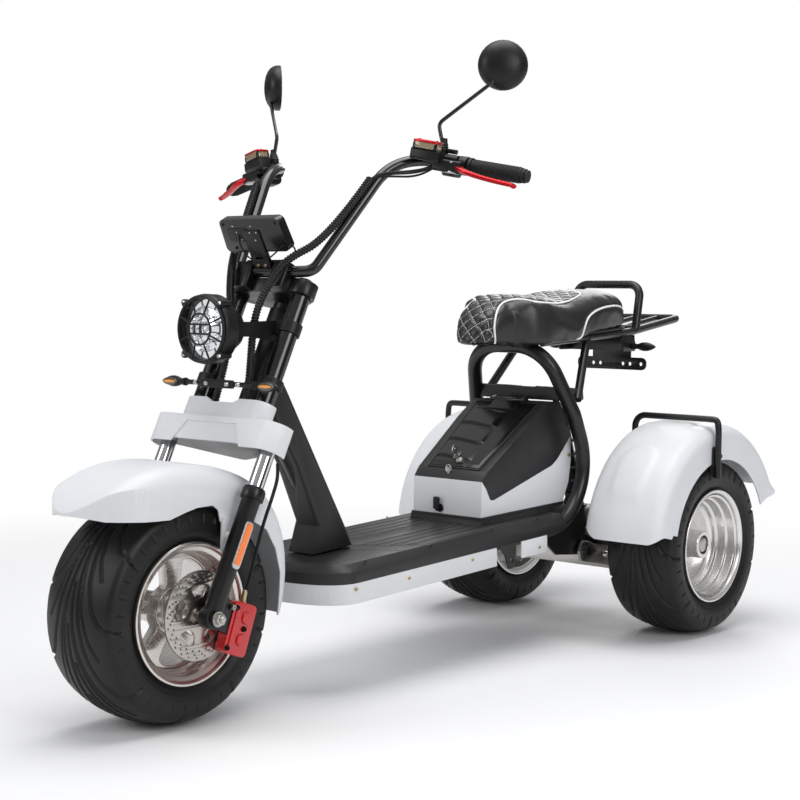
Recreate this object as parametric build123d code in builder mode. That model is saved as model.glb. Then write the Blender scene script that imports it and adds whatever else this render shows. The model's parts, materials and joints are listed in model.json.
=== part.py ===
"""Electric tricycle: a fat-tyred three-wheeled scooter, +X its left side, -Y its front, +Z up.

The origin is on the floor, below the middle of the vehicle. Lengths are in millimetres.
"""
import os
from math import cos, radians, sin, tan

from build123d import *

os.makedirs("parts", exist_ok=True)

# ---- driving dimensions -------------------------------------------------------------------
wheel_base = 1488.0          # front axle to rear axle
rear_track = 598.0           # between the middles of the rear tyres
nose_reach = 242.0           # front fender's nose, ahead of the front axle
tail_reach = 1791.0          # rear rack's end, behind the front axle

tyre_radius = 224.0
tyre_width = 196.0
tread_edge = 14.0            # tread's shoulder, in from the side and down from the crown
tread_drop = 14.0
flange_radius = 141.0        # rim flange
bead_radius = 127.0          # bead seat of a ten-inch rim
barrel_wall = 6.0
flange_wall = 8.0
rim_half_width = 92.0
front_hub_radius = 30.0
front_hub_half = 84.0
spoke_count = 5
disc_radius = 88.0
disc_centre = 112.0          # brake disc, from the middle
disc_wall = 4.0
rear_hub_radius = 35.0
rear_hub_inner = 30.0        # from the wheel's middle, towards the vehicle
rear_hub_outer = 61.0
hub_recess_radius = 23.0
hub_recess_depth = 12.0

axle_radius = 10.0           # front axle pin
stub_radius = 14.0           # rear stub axles
bearing_clearance = 0.05     # radial, where a shaft turns in its bore
trim_gap = 0.3               # between two pieces that only rest on each other
joint_gap = 6.0              # between pieces that move past each other

rake = 26.2                  # steering axis, back from the vertical
fork_offset = 50.0           # steering axis behind the plane of the fork legs
leg_spread = 145.0           # fork legs and stanchions, from the middle
leg_radius = 19.0
leg_collar = 23.5
leg_foot = 12.5
leg_top = 263.0              # heights with _top are along the fork, from the axle
lug_radius = 22.0
lug_width = 26.0
stanchion_radius = 16.0
upper_spread = 90.0          # upper fork tubes, from the middle
upper_radius = 20.0
stem_radius = 15.0
head_radius = 28.0
head_bottom = 405.0
head_top = 672.0
lower_clamp_top = 392.0
lower_clamp_depth = 42.0
top_clamp_top = 715.0
top_clamp_depth = 30.0
clamp_rim = 8.0              # clamp around a fork tube
cover_wall = 4.0
cover_bottom = 338.0
cover_step = 398.0           # where the wide lower tier ends
cover_top = 442.0

rail_radius = 18.0           # frame rails and seat hoops
rail_slope = 2.5             # rails and floor rise to the rear
stay_radius = 10.5
seat_rail_radius = 10.0
deck_edge = 172.0            # outer face of the footboard's side
deck_bevel = 19.0            # width and drop of its bevelled edge
deck_drop = 16.0
deck_depth = 40.0            # crease to the lower edge
deck_wall = 4.0
rail_spread = deck_edge - deck_wall - rail_radius   # rails lie along the footboard's wall
deck_height = 306.0          # floor's crease, deck_ref behind the front axle
deck_ref = 900.0
deck_rear = 1150.0
plinth_height = 12.0         # raised strip that the box stands on
pan_depth = 83.0             # crease to the bottom of the tray under the floor
pan_rear = 871.0
skirt_front = 968.0          # rear skirts start behind the side stand's tab
skirt_rear = 1071.0
skirt_wall = 3.0
box_wall = 3.0
lid_wall = 3.0
lid_drop = 14.0              # depth of the lid's turned-down edge

fender_crown = 308.0         # rear fender's crown, from the axle
fender_arch = 218.0          # lower edge of its outer skirt
fender_inner = 105.0         # fender's inner and outer skirts, from the tyre's middle
fender_outer = 111.0
fender_wall = 4.0
fender_start = 24.0          # degrees above the horizontal, behind the axle
fender_sweep = 149.6
guard_radius = 8.0

bar_radius = 12.0
grip_radius = 16.0
lamp_radius = 70.0

# ---- places worked out from them ----------------------------------------------------------
front_y = -(tail_reach - nose_reach) / 2
rear_y = front_y + wheel_base
half_track = rear_track / 2
slope = tan(radians(rail_slope))

fork = Plane(origin=(0, front_y, tyre_radius), x_dir=(1, 0, 0),
             z_dir=(0, sin(radians(rake)), cos(radians(rake))))
steer = Plane(origin=fork.from_local_coords(Vector(0, fork_offset, 0)), x_dir=(1, 0, 0),
              z_dir=fork.z_dir)
deck = Plane(origin=(0, front_y + deck_ref, deck_height), x_dir=(1, 0, 0),
             z_dir=(0, -sin(radians(rail_slope)), cos(radians(rail_slope))))
front_axis = Axis((0, front_y, tyre_radius), (1, 0, 0))
rear_axis = Axis((0, rear_y, tyre_radius), (1, 0, 0))


def at(x, back, height):
    """A point given by its distance behind the front axle."""
    return (x, front_y + back, height)


def side_plane(x=0.0):
    """Side view: its x runs to the rear from the front axle, its y up, its z is +X."""
    return Plane(origin=(x, front_y, 0), x_dir=(0, 1, 0), z_dir=(1, 0, 0))


def front_plane(back=0.0):
    """Front view: its x is the vehicle's, its y is up, and its z is the front's."""
    return Plane(origin=(0, front_y + back, 0), x_dir=(1, 0, 0), z_dir=(0, -1, 0))


def plan_plane(height=0.0):
    """Plan: its x is the vehicle's and its y the distance behind the front axle."""
    return Plane(origin=(0, front_y, height), x_dir=(1, 0, 0), z_dir=(0, 0, 1))


def wheel_section(x, y, angle=90.0):
    """A plane through an axle: its x is along +X and its y outwards, at an angle in degrees."""
    return Plane(origin=(x, y, tyre_radius), x_dir=(1, 0, 0),
                 z_dir=(0, -sin(radians(angle)), cos(radians(angle))))


def across(x, y, height):
    """A plane whose z is +X, for pieces about a lateral axis."""
    return Plane(origin=(x, y, height), x_dir=(0, 1, 0), z_dir=(1, 0, 0))


def tube(points, radius, corners=None):
    """A round bar through the points, with the given radii at its corners."""
    with BuildPart() as bar:
        with BuildLine() as path:
            if corners:
                FilletPolyline(*points, radius=corners)
            else:
                Line(*points)
        with BuildSketch(Plane(origin=path.line @ 0, z_dir=path.line % 0)):
            Circle(radius)
        sweep()
    return bar.part


def gentle(points):
    """Corner radii as large as the runs of a hose or loom allow."""
    radii = []
    for before, corner, after in zip(points, points[1:], points[2:]):
        into = Vector(*corner) - Vector(*before)
        out = Vector(*after) - Vector(*corner)
        half = radians(into.get_angle(out)) / 2
        radii.append(0.45 * min(into.length, out.length) / tan(half))
    print("corner radii:", [round(r) for r in radii])
    return radii


def plate(points, plane, thickness, corner=0.0):
    """A flat plate, its outline on the plane and its thickness along the plane's z."""
    with BuildPart() as sheet:
        with BuildSketch(plane) as outline:
            Polygon(*points, align=None)
            if corner:
                fillet(outline.vertices(), corner)
        extrude(amount=thickness)
    return sheet.part


def rod(plane, radius, start, end, bore=0.0):
    """A round bar along the plane's z, with a bore if one is given."""
    with BuildPart() as bar:
        with BuildSketch(plane.offset(start)):
            Circle(radius)
            if bore:
                Circle(bore, mode=Mode.SUBTRACT)
        extrude(amount=end - start)
    return bar.part


def signal_lamp(start, length):
    """A flattened indicator lamp on its stalk, along a plane's z."""
    with BuildPart() as body:
        with BuildSketch(start):
            Circle(7)
        extrude(amount=14)
        for reach, width, height in ((12, 12, 10), (12 + length * 0.4, 15, 11), (12 + length, 8, 6)):
            with BuildSketch(start.offset(reach)):
                Ellipse(width, height)
        loft()
    return body.part


def write(builder, label):
    """Name a finished piece and write it."""
    builder.part.label = label
    export_step(builder.part, f"parts/{label}.step")


# ---- wheels -------------------------------------------------------------------------------
def tyre(x, y, axis):
    """A tyre about an axle, its middle at x."""
    side = tyre_width / 2
    bead = rim_half_width - flange_wall
    with BuildPart() as ring:
        with BuildSketch(wheel_section(x, y)):
            with BuildLine():
                Line((-bead, bead_radius), (bead, bead_radius))
                Line((bead, bead_radius), (bead, flange_radius + 3))
                crown = ThreePointArc((side - tread_edge, tyre_radius - tread_drop),
                                      (0, tyre_radius),
                                      (tread_edge - side, tyre_radius - tread_drop))
                Spline((bead, flange_radius + 3), (side, tyre_radius * 0.79), crown @ 0,
                       tangents=((1, 1), crown % 0))
                Spline(crown @ 1, (-side, tyre_radius * 0.79), (-bead, flange_radius + 3),
                       tangents=(crown % 1, (1, -1)))
                Line((-bead, flange_radius + 3), (-bead, bead_radius))
            make_face()
        revolve(axis=axis)
    return ring.part


def barrel(x, y, axis):
    """The rim's barrel and its two flanges."""
    bead = rim_half_width - flange_wall
    inner = bead_radius - barrel_wall
    with BuildPart() as ring:
        with BuildSketch(wheel_section(x, y)):
            Polygon((-rim_half_width, flange_radius), (-bead, flange_radius), (-bead, bead_radius),
                    (bead, bead_radius), (bead, flange_radius), (rim_half_width, flange_radius),
                    (rim_half_width, flange_radius - 6), (bead - 4, inner), (4 - bead, inner),
                    (-rim_half_width, flange_radius - 6), align=None)
        revolve(axis=axis)
    return ring.part


front_wheel = across(0, front_y, tyre_radius)
spoke_inner = 14.0           # spokes' faces, from the wheel's middle
spoke_outer = 40.0
spoke_root = 46.0
spoke_tip = 34.0
disc_inner_face = disc_centre - disc_wall / 2
disc_boss = 38.0

with BuildPart() as front_tyre:
    add(tyre(0, front_y, front_axis))
write(front_tyre, "front_tyre")

with BuildPart() as front_rim:
    add(barrel(0, front_y, front_axis))
    add(rod(front_wheel, front_hub_radius, -front_hub_half, front_hub_half))
    add(rod(front_wheel, disc_boss, front_hub_half - 12, disc_inner_face))
    with BuildSketch(front_wheel.offset(spoke_inner)):
        with PolarLocations(0, spoke_count, start_angle=90):
            Polygon((front_hub_radius - 8, -spoke_root / 2), (bead_radius - 2, -spoke_tip / 2),
                    (bead_radius - 2, spoke_tip / 2), (front_hub_radius - 8, spoke_root / 2),
                    align=None)
    extrude(amount=spoke_outer - spoke_inner)
    with BuildSketch(front_wheel.offset(-1.5 * front_hub_half)):
        Circle(axle_radius + bearing_clearance)
    extrude(amount=3 * front_hub_half, mode=Mode.SUBTRACT)
write(front_rim, "front_rim")

with BuildPart() as front_disc:
    add(rod(front_wheel, disc_radius, disc_inner_face, disc_inner_face + disc_wall,
            axle_radius + joint_gap))
write(front_disc, "front_disc")

for side, name in ((1, "left"), (-1, "right")):
    middle = side * half_track
    hub = Plane(origin=(middle, rear_y, tyre_radius), x_dir=(0, 1, 0), z_dir=(side, 0, 0))
    with BuildPart() as rear_tyre:
        add(tyre(middle, rear_y, rear_axis))
    write(rear_tyre, f"rear_tyre_{name}")
    with BuildPart() as rear_rim:
        add(barrel(middle, rear_y, rear_axis))
        add(rod(hub, rear_hub_radius, -rear_hub_inner, rear_hub_outer))
        with BuildSketch(wheel_section(middle, rear_y)):
            Polygon((side * 2, rear_hub_radius - 6), (side * 16, rear_hub_radius - 6),
                    (side * 9, 70), (side * 9, bead_radius - 2), (side * 2, bead_radius - 2),
                    (side * 2, 70), align=None)
        revolve(axis=rear_axis)
        with BuildSketch(hub.offset(rear_hub_outer - hub_recess_depth)):
            Circle(hub_recess_radius)
        extrude(amount=2 * hub_recess_depth, mode=Mode.SUBTRACT)
        with BuildSketch(hub.offset(-2 * rear_hub_inner)):
            Circle(stub_radius + bearing_clearance)
        extrude(amount=4 * rear_hub_outer, mode=Mode.SUBTRACT)
    write(rear_rim, f"rear_rim_{name}")

# ---- front axle, fork and clamps ----------------------------------------------------------
lug_inner = leg_spread - 13.0
lug_outer = lug_inner + lug_width
spacer_radius = 12.0
nut_radius = 12.0
nut_width = 10.0

with BuildPart() as front_axle:
    add(rod(front_wheel, axle_radius, -lug_outer - nut_width, lug_outer + nut_width))
    add(rod(front_wheel, spacer_radius, disc_inner_face + disc_wall + trim_gap,
            lug_inner - trim_gap))
    add(rod(front_wheel, spacer_radius, trim_gap - lug_inner, -front_hub_half - trim_gap))
    for side in (-1, 1):
        with BuildSketch(front_wheel.offset(side * (lug_outer + trim_gap))):
            RegularPolygon(nut_radius, 6)
        extrude(amount=side * (nut_width - trim_gap))
write(front_axle, "front_axle")

caliper_angle = -20.6        # degrees from the horizontal, behind the axle
hanger_wall = 8.0
hanger_shape = [(0, -12), (20, -16), (72, -22), (90, 0), (72, 22), (12, 66), (-5, 66)]
hanger = Plane(origin=front_wheel.origin, x_dir=(0, cos(radians(caliper_angle)),
                                                 sin(radians(caliper_angle))), z_dir=(1, 0, 0))

with BuildPart() as fork_legs:
    with BuildSketch(fork.offset(leg_foot)):
        with Locations((-leg_spread, 0), (leg_spread, 0)):
            Circle(leg_radius)
    extrude(amount=leg_top - leg_foot)
    with BuildSketch(fork.offset(leg_top - 20)):
        with Locations((-leg_spread, 0), (leg_spread, 0)):
            Circle(leg_collar)
    extrude(amount=20)
    for side in (-1, 1):
        lug = across(side * leg_spread, front_y, tyre_radius)
        add(rod(lug, lug_radius, -lug_width / 2, lug_width / 2))
    add(plate(hanger_shape, hanger.offset(lug_inner + 1), hanger_wall, 5))
    with BuildSketch(fork.offset(90)):
        with Locations((-leg_spread, 0), (leg_spread, 0)):
            Circle(stanchion_radius + trim_gap)
    extrude(amount=leg_top, mode=Mode.SUBTRACT)
    with BuildSketch(front_wheel.offset(-2 * leg_spread)):
        Circle(axle_radius + trim_gap)
    extrude(amount=4 * leg_spread, mode=Mode.SUBTRACT)
write(fork_legs, "fork_legs")

with BuildPart() as stanchions:
    with BuildSketch(fork.offset(100)):
        with Locations((-leg_spread, 0), (leg_spread, 0)):
            Circle(stanchion_radius)
    extrude(amount=lower_clamp_top - 100)
write(stanchions, "stanchions")

socket_depth = 20.0
with BuildPart() as fork_upper_tubes:
    with BuildSketch(fork.offset(lower_clamp_top - socket_depth)):
        with Locations((-upper_spread, 0), (upper_spread, 0)):
            Circle(upper_radius)
    extrude(amount=top_clamp_top + 6 - lower_clamp_top + socket_depth)
    chamfer(fork_upper_tubes.edges().filter_by(GeomType.CIRCLE)
            .filter_by(lambda e: fork.to_local_coords(e.arc_center).Z > top_clamp_top), 3)
write(fork_upper_tubes, "fork_upper_tubes")

race_radius = 24.0
riser_drop = -32.0           # handlebar clamp, ahead of the fork's plane
riser_height = 27.0
riser_width = 44.0
riser_x = 52.0
bar_height = top_clamp_top + 11.5
bar_centre = fork.from_local_coords(Vector(0, riser_drop, bar_height))

with BuildPart() as fork_clamps:
    with BuildSketch(fork.offset(lower_clamp_top - lower_clamp_depth)):
        with Locations((-leg_spread, 0), (leg_spread, 0)):
            Circle(stanchion_radius + clamp_rim)
        with Locations((0, fork_offset)):
            Circle(race_radius + clamp_rim)
        make_hull()
    extrude(amount=lower_clamp_depth)
    with BuildSketch(fork.offset(top_clamp_top - top_clamp_depth)):
        with Locations((-upper_spread, 0), (upper_spread, 0)):
            Circle(upper_radius + clamp_rim)
        with Locations((0, fork_offset)):
            Circle(race_radius + clamp_rim / 2)
        make_hull()
    extrude(amount=top_clamp_depth)
    with BuildSketch(fork.offset(top_clamp_top - top_clamp_depth)):
        with Locations((-riser_x, riser_drop), (riser_x, riser_drop)):
            RectangleRounded(riser_width, 38, 6)
    extrude(amount=top_clamp_depth + riser_height)
    with BuildSketch(steer.offset(lower_clamp_top)):
        Circle(race_radius)
    extrude(amount=head_bottom - lower_clamp_top - trim_gap)
    with BuildSketch(steer.offset(head_top + trim_gap)):
        Circle(race_radius)
    extrude(amount=top_clamp_top - top_clamp_depth - head_top)
    add(rod(steer, stem_radius, lower_clamp_top - 10, top_clamp_top - 5))
    with BuildSketch(fork.offset(lower_clamp_top - 2 * lower_clamp_depth)):
        with Locations((-leg_spread, 0), (leg_spread, 0)):
            Circle(stanchion_radius + trim_gap)
    extrude(amount=3 * lower_clamp_depth, mode=Mode.SUBTRACT)
    with BuildSketch(fork.offset(lower_clamp_top - socket_depth)):
        with Locations((-upper_spread, 0), (upper_spread, 0)):
            Circle(upper_radius + trim_gap)
    extrude(amount=top_clamp_top, mode=Mode.SUBTRACT)
    with BuildSketch(across(0, bar_centre.Y, bar_centre.Z).offset(-leg_spread)):
        Circle(bar_radius + trim_gap)
    extrude(amount=2 * leg_spread, mode=Mode.SUBTRACT)
write(fork_clamps, "fork_clamps")


def cover_tier(bottom, top, spread, radius):
    """One tier of the cover over the lower clamp, from its height to the next."""
    with BuildPart() as tier:
        with BuildSketch(fork.offset(bottom)):
            with Locations((-spread, 0), (spread, 0)):
                Circle(radius)
            make_hull()
        extrude(amount=top - bottom)
    return tier.part


cover_back = 16.0            # cover is open behind this, where the clamp reaches the stem
with BuildPart() as clamp_cover:
    add(cover_tier(cover_bottom, cover_step, leg_spread, 38))
    add(cover_tier(cover_bottom, cover_top, upper_spread, 28))
    add(cover_tier(cover_bottom - 5, cover_step - cover_wall, leg_spread, 38 - cover_wall),
        mode=Mode.SUBTRACT)
    add(cover_tier(cover_bottom - 5, cover_top - cover_wall, upper_spread, 28 - cover_wall),
        mode=Mode.SUBTRACT)
    with BuildSketch(fork.offset(cover_bottom - 5)):
        with Locations((0, cover_back)):
            Rectangle(3 * leg_spread, 60, align=(Align.CENTER, Align.MIN))
    extrude(amount=120, mode=Mode.SUBTRACT)
    with BuildSketch(Plane(origin=fork.origin, x_dir=(1, 0, 0), z_dir=-fork.y_dir)):
        with Locations((0, cover_bottom - 10)):
            Trapezoid(210, 57, 60, align=(Align.CENTER, Align.MIN))
        Polygon((-58, cover_top + 5), (-30, cover_top - 9), (30, cover_top - 9),
                (58, cover_top + 5), align=None)
    extrude(amount=60, mode=Mode.SUBTRACT)
    with BuildSketch(fork.offset(cover_bottom + 8)):
        with Locations((0, cover_wall - 36.3)):
            Rectangle(214, cover_wall + 0.6)
    extrude(amount=cover_step - cover_wall - cover_bottom - 7)
    with BuildSketch(fork.offset(cover_bottom)):
        with Locations((-upper_spread, 0), (upper_spread, 0)):
            Circle(upper_radius + trim_gap)
    extrude(amount=150, mode=Mode.SUBTRACT)
write(clamp_cover, "clamp_cover")

# ---- brake caliper and hose ---------------------------------------------------------------
caliper_reach = 112.0        # outermost part of the bridge, from the axle
slot_half = disc_wall / 2 + joint_gap - 1
with BuildPart() as brake_caliper:
    with BuildSketch(hanger.offset(disc_centre - slot_half - 12)):
        with Locations((84, 0)):
            RectangleRounded(2 * (caliper_reach - 84), 58, 8)
    extrude(amount=lug_inner + 4 - (disc_centre - slot_half - 12))
    with BuildSketch(hanger.offset(disc_centre + slot_half)):
        with Locations((88, -4)):
            RectangleRounded(62, 104, 10)
    extrude(amount=lug_inner + 11 - (disc_centre + slot_half))
    add(rod(front_wheel, disc_radius + joint_gap, disc_centre - slot_half,
            disc_centre + slot_half), mode=Mode.SUBTRACT)
    add(plate(hanger_shape, hanger.offset(lug_inner + 1 - trim_gap), hanger_wall + 2 * trim_gap),
        mode=Mode.SUBTRACT)
write(brake_caliper, "brake_caliper")

hose_radius = 3.5
hose_seat = hanger.from_local_coords(Vector(88, 48 + trim_gap, 131))
hose_points = [tuple(hose_seat), at(133, 116, 284), at(141, 126, 338), at(147, 141, 396),
               at(146, 164, 440), at(136, 190, 476), at(126, 200, 505)]
with BuildPart() as brake_hose:
    add(tube(hose_points, hose_radius, gentle(hose_points)))
write(brake_hose, "brake_hose")

# ---- handlebar and its controls -----------------------------------------------------------
bar_bend = Vector(*at(212, 556, 1130.5))
bar_end = Plane(origin=bar_bend, x_dir=(0.176, 0.033, 0.984), z_dir=(0.957, 0.2295, -0.1758))
bar_length = 230.0
bar_low = Vector(*at(112, 316, 892))
bar_shoulder = Vector(*at(176, 476, 1118))
bar_mount = (riser_x + riser_width / 2 + 6, bar_centre.Y, bar_centre.Z)
bar_tip = bar_end.from_local_coords(Vector(0, 0, bar_length))


with BuildPart() as handlebar:
    add(tube([(0, bar_centre.Y, bar_centre.Z), bar_mount, tuple(bar_low), tuple(bar_shoulder),
              tuple(bar_bend), tuple(bar_tip)], bar_radius, [16, 32, 130, 60]))
    mirror(about=Plane.YZ)
write(handlebar, "handlebar")

grip_start = 102.0
grip_end = 222.0
with BuildPart() as grips:
    add(rod(bar_end, grip_radius, grip_start, grip_end, bar_radius + trim_gap))
    add(rod(bar_end, grip_radius + 3, grip_start, grip_start + 6, bar_radius + trim_gap))
    add(rod(bar_end, bar_radius + 1, bar_length + trim_gap, bar_length + 6))
    add(rod(bar_end, grip_radius - 1, grip_end + trim_gap, bar_length, bar_radius + trim_gap))
    mirror(about=Plane.YZ)
write(grips, "grips")

clamp_start = 26.0
clamp_end = 46.0
pivot = bar_end.from_local_coords(Vector(-16, 34, 84))
perch = Plane(origin=bar_end.from_local_coords(Vector(0, 0, clamp_start)),
              x_dir=bar_end.x_dir, z_dir=bar_end.z_dir)
with BuildPart() as master_cylinders:
    add(rod(bar_end, bar_radius + 7, clamp_start, clamp_end))
    with BuildSketch(perch):
        with Locations((2, 28)):
            RectangleRounded(22, 40, 4)
    extrude(amount=clamp_end - clamp_start)
    with BuildSketch(perch.offset(-34)):
        with Locations((10, 52)):
            RectangleRounded(24, 28, 6)
    extrude(amount=66)
    with BuildSketch(perch.offset(-30)):
        with Locations((27, 52)):
            RectangleRounded(14, 32, 3)
    extrude(amount=54)
    with BuildSketch(perch.offset(12)):
        with Locations((-6, 36)):
            RectangleRounded(26, 24, 5)
    extrude(amount=62.2)
    add(rod(bar_end, bar_radius + trim_gap, 0, bar_length), mode=Mode.SUBTRACT)
    mirror(about=Plane.YZ)
write(master_cylinders, "master_cylinders")

lever_radius = 5.5
lever_points = [tuple(bar_end.from_local_coords(Vector(*p)))
                for p in ((-8, 40, 103), (-13, 50, 125), (-20, 42, 170), (-22, 36, 226))]
with BuildPart() as brake_levers:
    add(tube(lever_points, lever_radius, gentle(lever_points)))
    mirror(about=Plane.YZ)
write(brake_levers, "brake_levers")

with BuildPart() as switch_pods:
    with BuildSketch(bar_end.offset(clamp_end + trim_gap)):
        with Locations((-4, -3)):
            RectangleRounded(46, 42, 12)
        Circle(bar_radius + trim_gap, mode=Mode.SUBTRACT)
    extrude(amount=30)
    with BuildSketch(bar_end.offset(clamp_end + 34)):
        Circle(20)
        Circle(bar_radius + trim_gap, mode=Mode.SUBTRACT)
    extrude(amount=18)
    with BuildSketch(bar_end.offset(clamp_end + trim_gap)):
        with Locations((25, 0)):
            RectangleRounded(10, 16, 3)
    extrude(amount=20)
    mirror(about=Plane.YZ)
write(switch_pods, "switch_pods")

mirror_radius = 53.0
mirror_depth = 38.0
mirror_foot = bar_end.from_local_coords(Vector(bar_radius + 7 + trim_gap, 0,
                                                (clamp_start + clamp_end) / 2 - 2))
mirror_rod = [tuple(mirror_foot + bar_end.x_dir * 2), at(241, 565, 1208), at(325, 630, 1290),
              at(334, 645, 1314)]
mirror_head = Plane(origin=at(340, 650, 1329), x_dir=(0.76, 0.65, 0), z_dir=(0.65, -0.76, 0))
with BuildPart() as mirrors:
    add(tube(mirror_rod, 4.5, [12, 10]))
    with BuildSketch(Plane(origin=mirror_foot, x_dir=(0, 1, 0), z_dir=bar_end.x_dir)):
        Circle(10)
    extrude(amount=26, taper=10)
    with BuildSketch(mirror_head.offset(-mirror_depth / 2)):
        Circle(mirror_radius)
    extrude(amount=10)
    with BuildSketch(mirror_head.offset(10 - mirror_depth / 2)):
        Circle(mirror_radius)
    extrude(amount=mirror_depth - 10, taper=38)
    mirror(about=Plane.YZ)
write(mirrors, "mirrors")

# ---- display, headlight, indicators, looms ------------------------------------------------
display_face = Plane(origin=at(0, 260, 968), x_dir=(1, 0, 0), z_dir=(0, 0.889, 0.458))
with BuildPart() as display:
    with BuildSketch(display_face.offset(-9)):
        Trapezoid(182, 74, 86, rotation=180)
    extrude(amount=20)
    fillet(display.edges().filter_by(Axis((0, 0, 0), display_face.z_dir)), 12)
    add(plate([(-24, 20), (24, 20), (24, 72), (-24, 72)], display_face.offset(-8), 4))
    with BuildSketch(fork.offset(top_clamp_top + riser_height + trim_gap)):
        with Locations((0, riser_drop)):
            Rectangle(2 * riser_x, 30)
    extrude(amount=5)
write(display, "display")

lamp = Plane(origin=at(0, 116, 773), x_dir=(1, 0, 0), z_dir=(0, 1, 0))
lamp_arm = 262.0
collar_height = (773 - tyre_radius) / cos(radians(rake))
with BuildPart() as headlight:
    add(rod(lamp, lamp_radius, 0, 30))
    with BuildSketch(lamp.offset(30)):
        Circle(lamp_radius - 6)
    extrude(amount=44, taper=28)
    for side in (-1, 1):
        add(plate([(150, 758), (190, 758), (lamp_arm, 748), (lamp_arm + 12, 772),
                   (lamp_arm + 4, 790), (190, 788), (150, 788)],
                  side_plane(side * 52 - 2.5), 5, 3))
        with BuildSketch(fork.offset(collar_height - 12)):
            with Locations((side * upper_spread, 0)):
                Circle(upper_radius + 4)
            with Locations((side * 60, 0)):
                Rectangle(26, 24)
            with Locations((side * upper_spread, 0)):
                Circle(upper_radius + trim_gap, mode=Mode.SUBTRACT)
        extrude(amount=24)
write(headlight, "headlight")

signal_height = 662.0
signal_y = 158.0
signal_collar = (signal_height - tyre_radius) / cos(radians(rake))
with BuildPart() as front_indicators:
    with BuildSketch(side_plane()):
        with Locations((signal_y, signal_height)):
            RectangleRounded(9, 24, 3)
    extrude(amount=96)
    add(signal_lamp(across(96, front_y + signal_y, signal_height), 58))
    add(plate([(signal_y - 4, 655), (signal_y + 4, 650), (212, 645), (214, 668), (signal_y, 672)],
              side_plane(57.5), 5))
    with BuildSketch(fork.offset(signal_collar - 11)):
        with Locations((upper_spread, 0)):
            Circle(upper_radius + 4)
        with Locations((66, 0)):
            Rectangle(17, 20)
        with Locations((upper_spread, 0)):
            Circle(upper_radius + trim_gap, mode=Mode.SUBTRACT)
    extrude(amount=22)
    mirror(about=Plane.YZ)
write(front_indicators, "front_indicators")

loom_radius = 9.0
bar_line = (bar_shoulder - bar_low).normalized()
bar_ahead = (Vector(0, -1, 0) + bar_line * bar_line.Y).normalized()
loom_seat = bar_ahead * (bar_radius + loom_radius + trim_gap)
loom_left = [tuple(bar_shoulder - bar_line * 58 + loom_seat),
             tuple(bar_shoulder - bar_line * 215 + loom_seat),
             at(76, 267, 914), at(56, 241, 862), at(38, 226, 812), at(34, 219, 765),
             at(36, 212, 712), at(42, 201, 662), at(46, 191.7, 625.5)]
with BuildPart() as cable_looms:
    add(tube(loom_left, loom_radius, gentle(loom_left)))
    mirror(about=Plane.YZ)
write(cable_looms, "cable_looms")

# ---- front fender -------------------------------------------------------------------------
front_fender_half = 110.0
front_fender_wall = 3.5


def front_fender_block(inset):
    """The front fender as if filled, its outside drawn in by an inset."""
    crown = [(-nose_reach, 436), (-189, 476), (-121, 505), (-18, 516), (103, 496), (188, 455),
             (240, 392), (262, 320), (262, 250), (248, 190)]
    middle = Vector(10, 180)
    drawn = []
    for point in crown:
        outward = (Vector(*point) - middle).normalized()
        drawn.append(tuple(Vector(*point) - outward * inset)[:2])
    half = front_fender_half - inset
    with BuildPart() as block:
        with BuildSketch(side_plane(-half)):
            with BuildLine():
                Spline(*drawn)
                Polyline(drawn[-1], (200, 60), (drawn[0][0], 60), drawn[0])
            make_face()
        extrude(amount=2 * half)
        upper = block.edges().filter_by(
            lambda e: abs(abs((e @ 0.5).X) - half) < 1 and (e @ 0.5).Z > 420)
        fillet(upper, 42 - inset)
        with BuildSketch(plan_plane(0)):
            with BuildLine():
                Spline((half, -90), (half - 18, -170), (48 - inset / 2, -226),
                       (0, -nose_reach + inset), (inset / 2 - 48, -226), (18 - half, -170),
                       (-half, -90))
                Polyline((-half, -90), (-half, 300), (half, 300), (half, -90))
            make_face()
        extrude(amount=700, mode=Mode.INTERSECT)
    return block.part


with BuildPart() as front_fender:
    add(front_fender_block(0))
    add(front_fender_block(front_fender_wall), mode=Mode.SUBTRACT)
    with BuildSketch(side_plane(-200)):
        Polygon((-300, 434), (-235, 430), (-200, 421), (-129, 417), (-72, 416), (-31, 427), (-2, 433),
                (38, 434), (53, 424), (59, 400), (110, 392), (150, 392), (186, 372), (212, 330),
                (226, 280), (222, 192), (260, 192), (260, 40), (-300, 40), align=None)
    extrude(amount=400, mode=Mode.SUBTRACT)
    for side in (-1, 1):
        add(plate([(58, 340), (76, 330), (126, 372), (112, 404), (60, 412)],
                  side_plane(side * (front_fender_half + 2) - 2.5), 5, 4))
        pin = fork.from_local_coords(Vector(side * (front_fender_half + 4), 0, 165))
        foot = across(pin.X, pin.Y, pin.Z)
        add(rod(foot, 8, 0, side * (leg_spread - leg_radius - front_fender_half - 4 - trim_gap)))
write(front_fender, "front_fender")

# ---- main frame ---------------------------------------------------------------------------
rail_front = 430.0
seat_rest = 740.0            # top of the hoop, under the saddle
rail_start = (rail_spread, rail_front, 250)
hoop_corner = (rail_spread, 1336, 291)
hoop_kink = (rail_spread, 1209, 556)
hoop_top = (107, 1135, seat_rest - rail_radius)
left_hoop = [rail_start, hoop_corner, hoop_kink, hoop_top]
hoop = [at(*p) for p in left_hoop] + [at(-x, y, z) for x, y, z in reversed(left_hoop)]
neck_join = steer.from_local_coords(Vector(0, 0, 500))
down_foot = at(0, 510, 262)
stay_foot = (143, 1234, 589)
stay_head = (100, 1335, 737)
seat_rail = [at(100, 1142, 731), at(100, 1545, 754)]
pivot_y = 1250.0
pivot_z = 214.0
shock_x = 62.0
shock_top = (1252, 600)
stay_gusset = 137.0          # gussets between the hoop and the stays' feet
stand_hole = (937, 228)      # bolt hole in the side stand's tab
stand_hole_radius = 5.25


def rail_z(back):
    """Height of the rails' centre line."""
    return 250 + (back - rail_front) * slope


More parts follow.
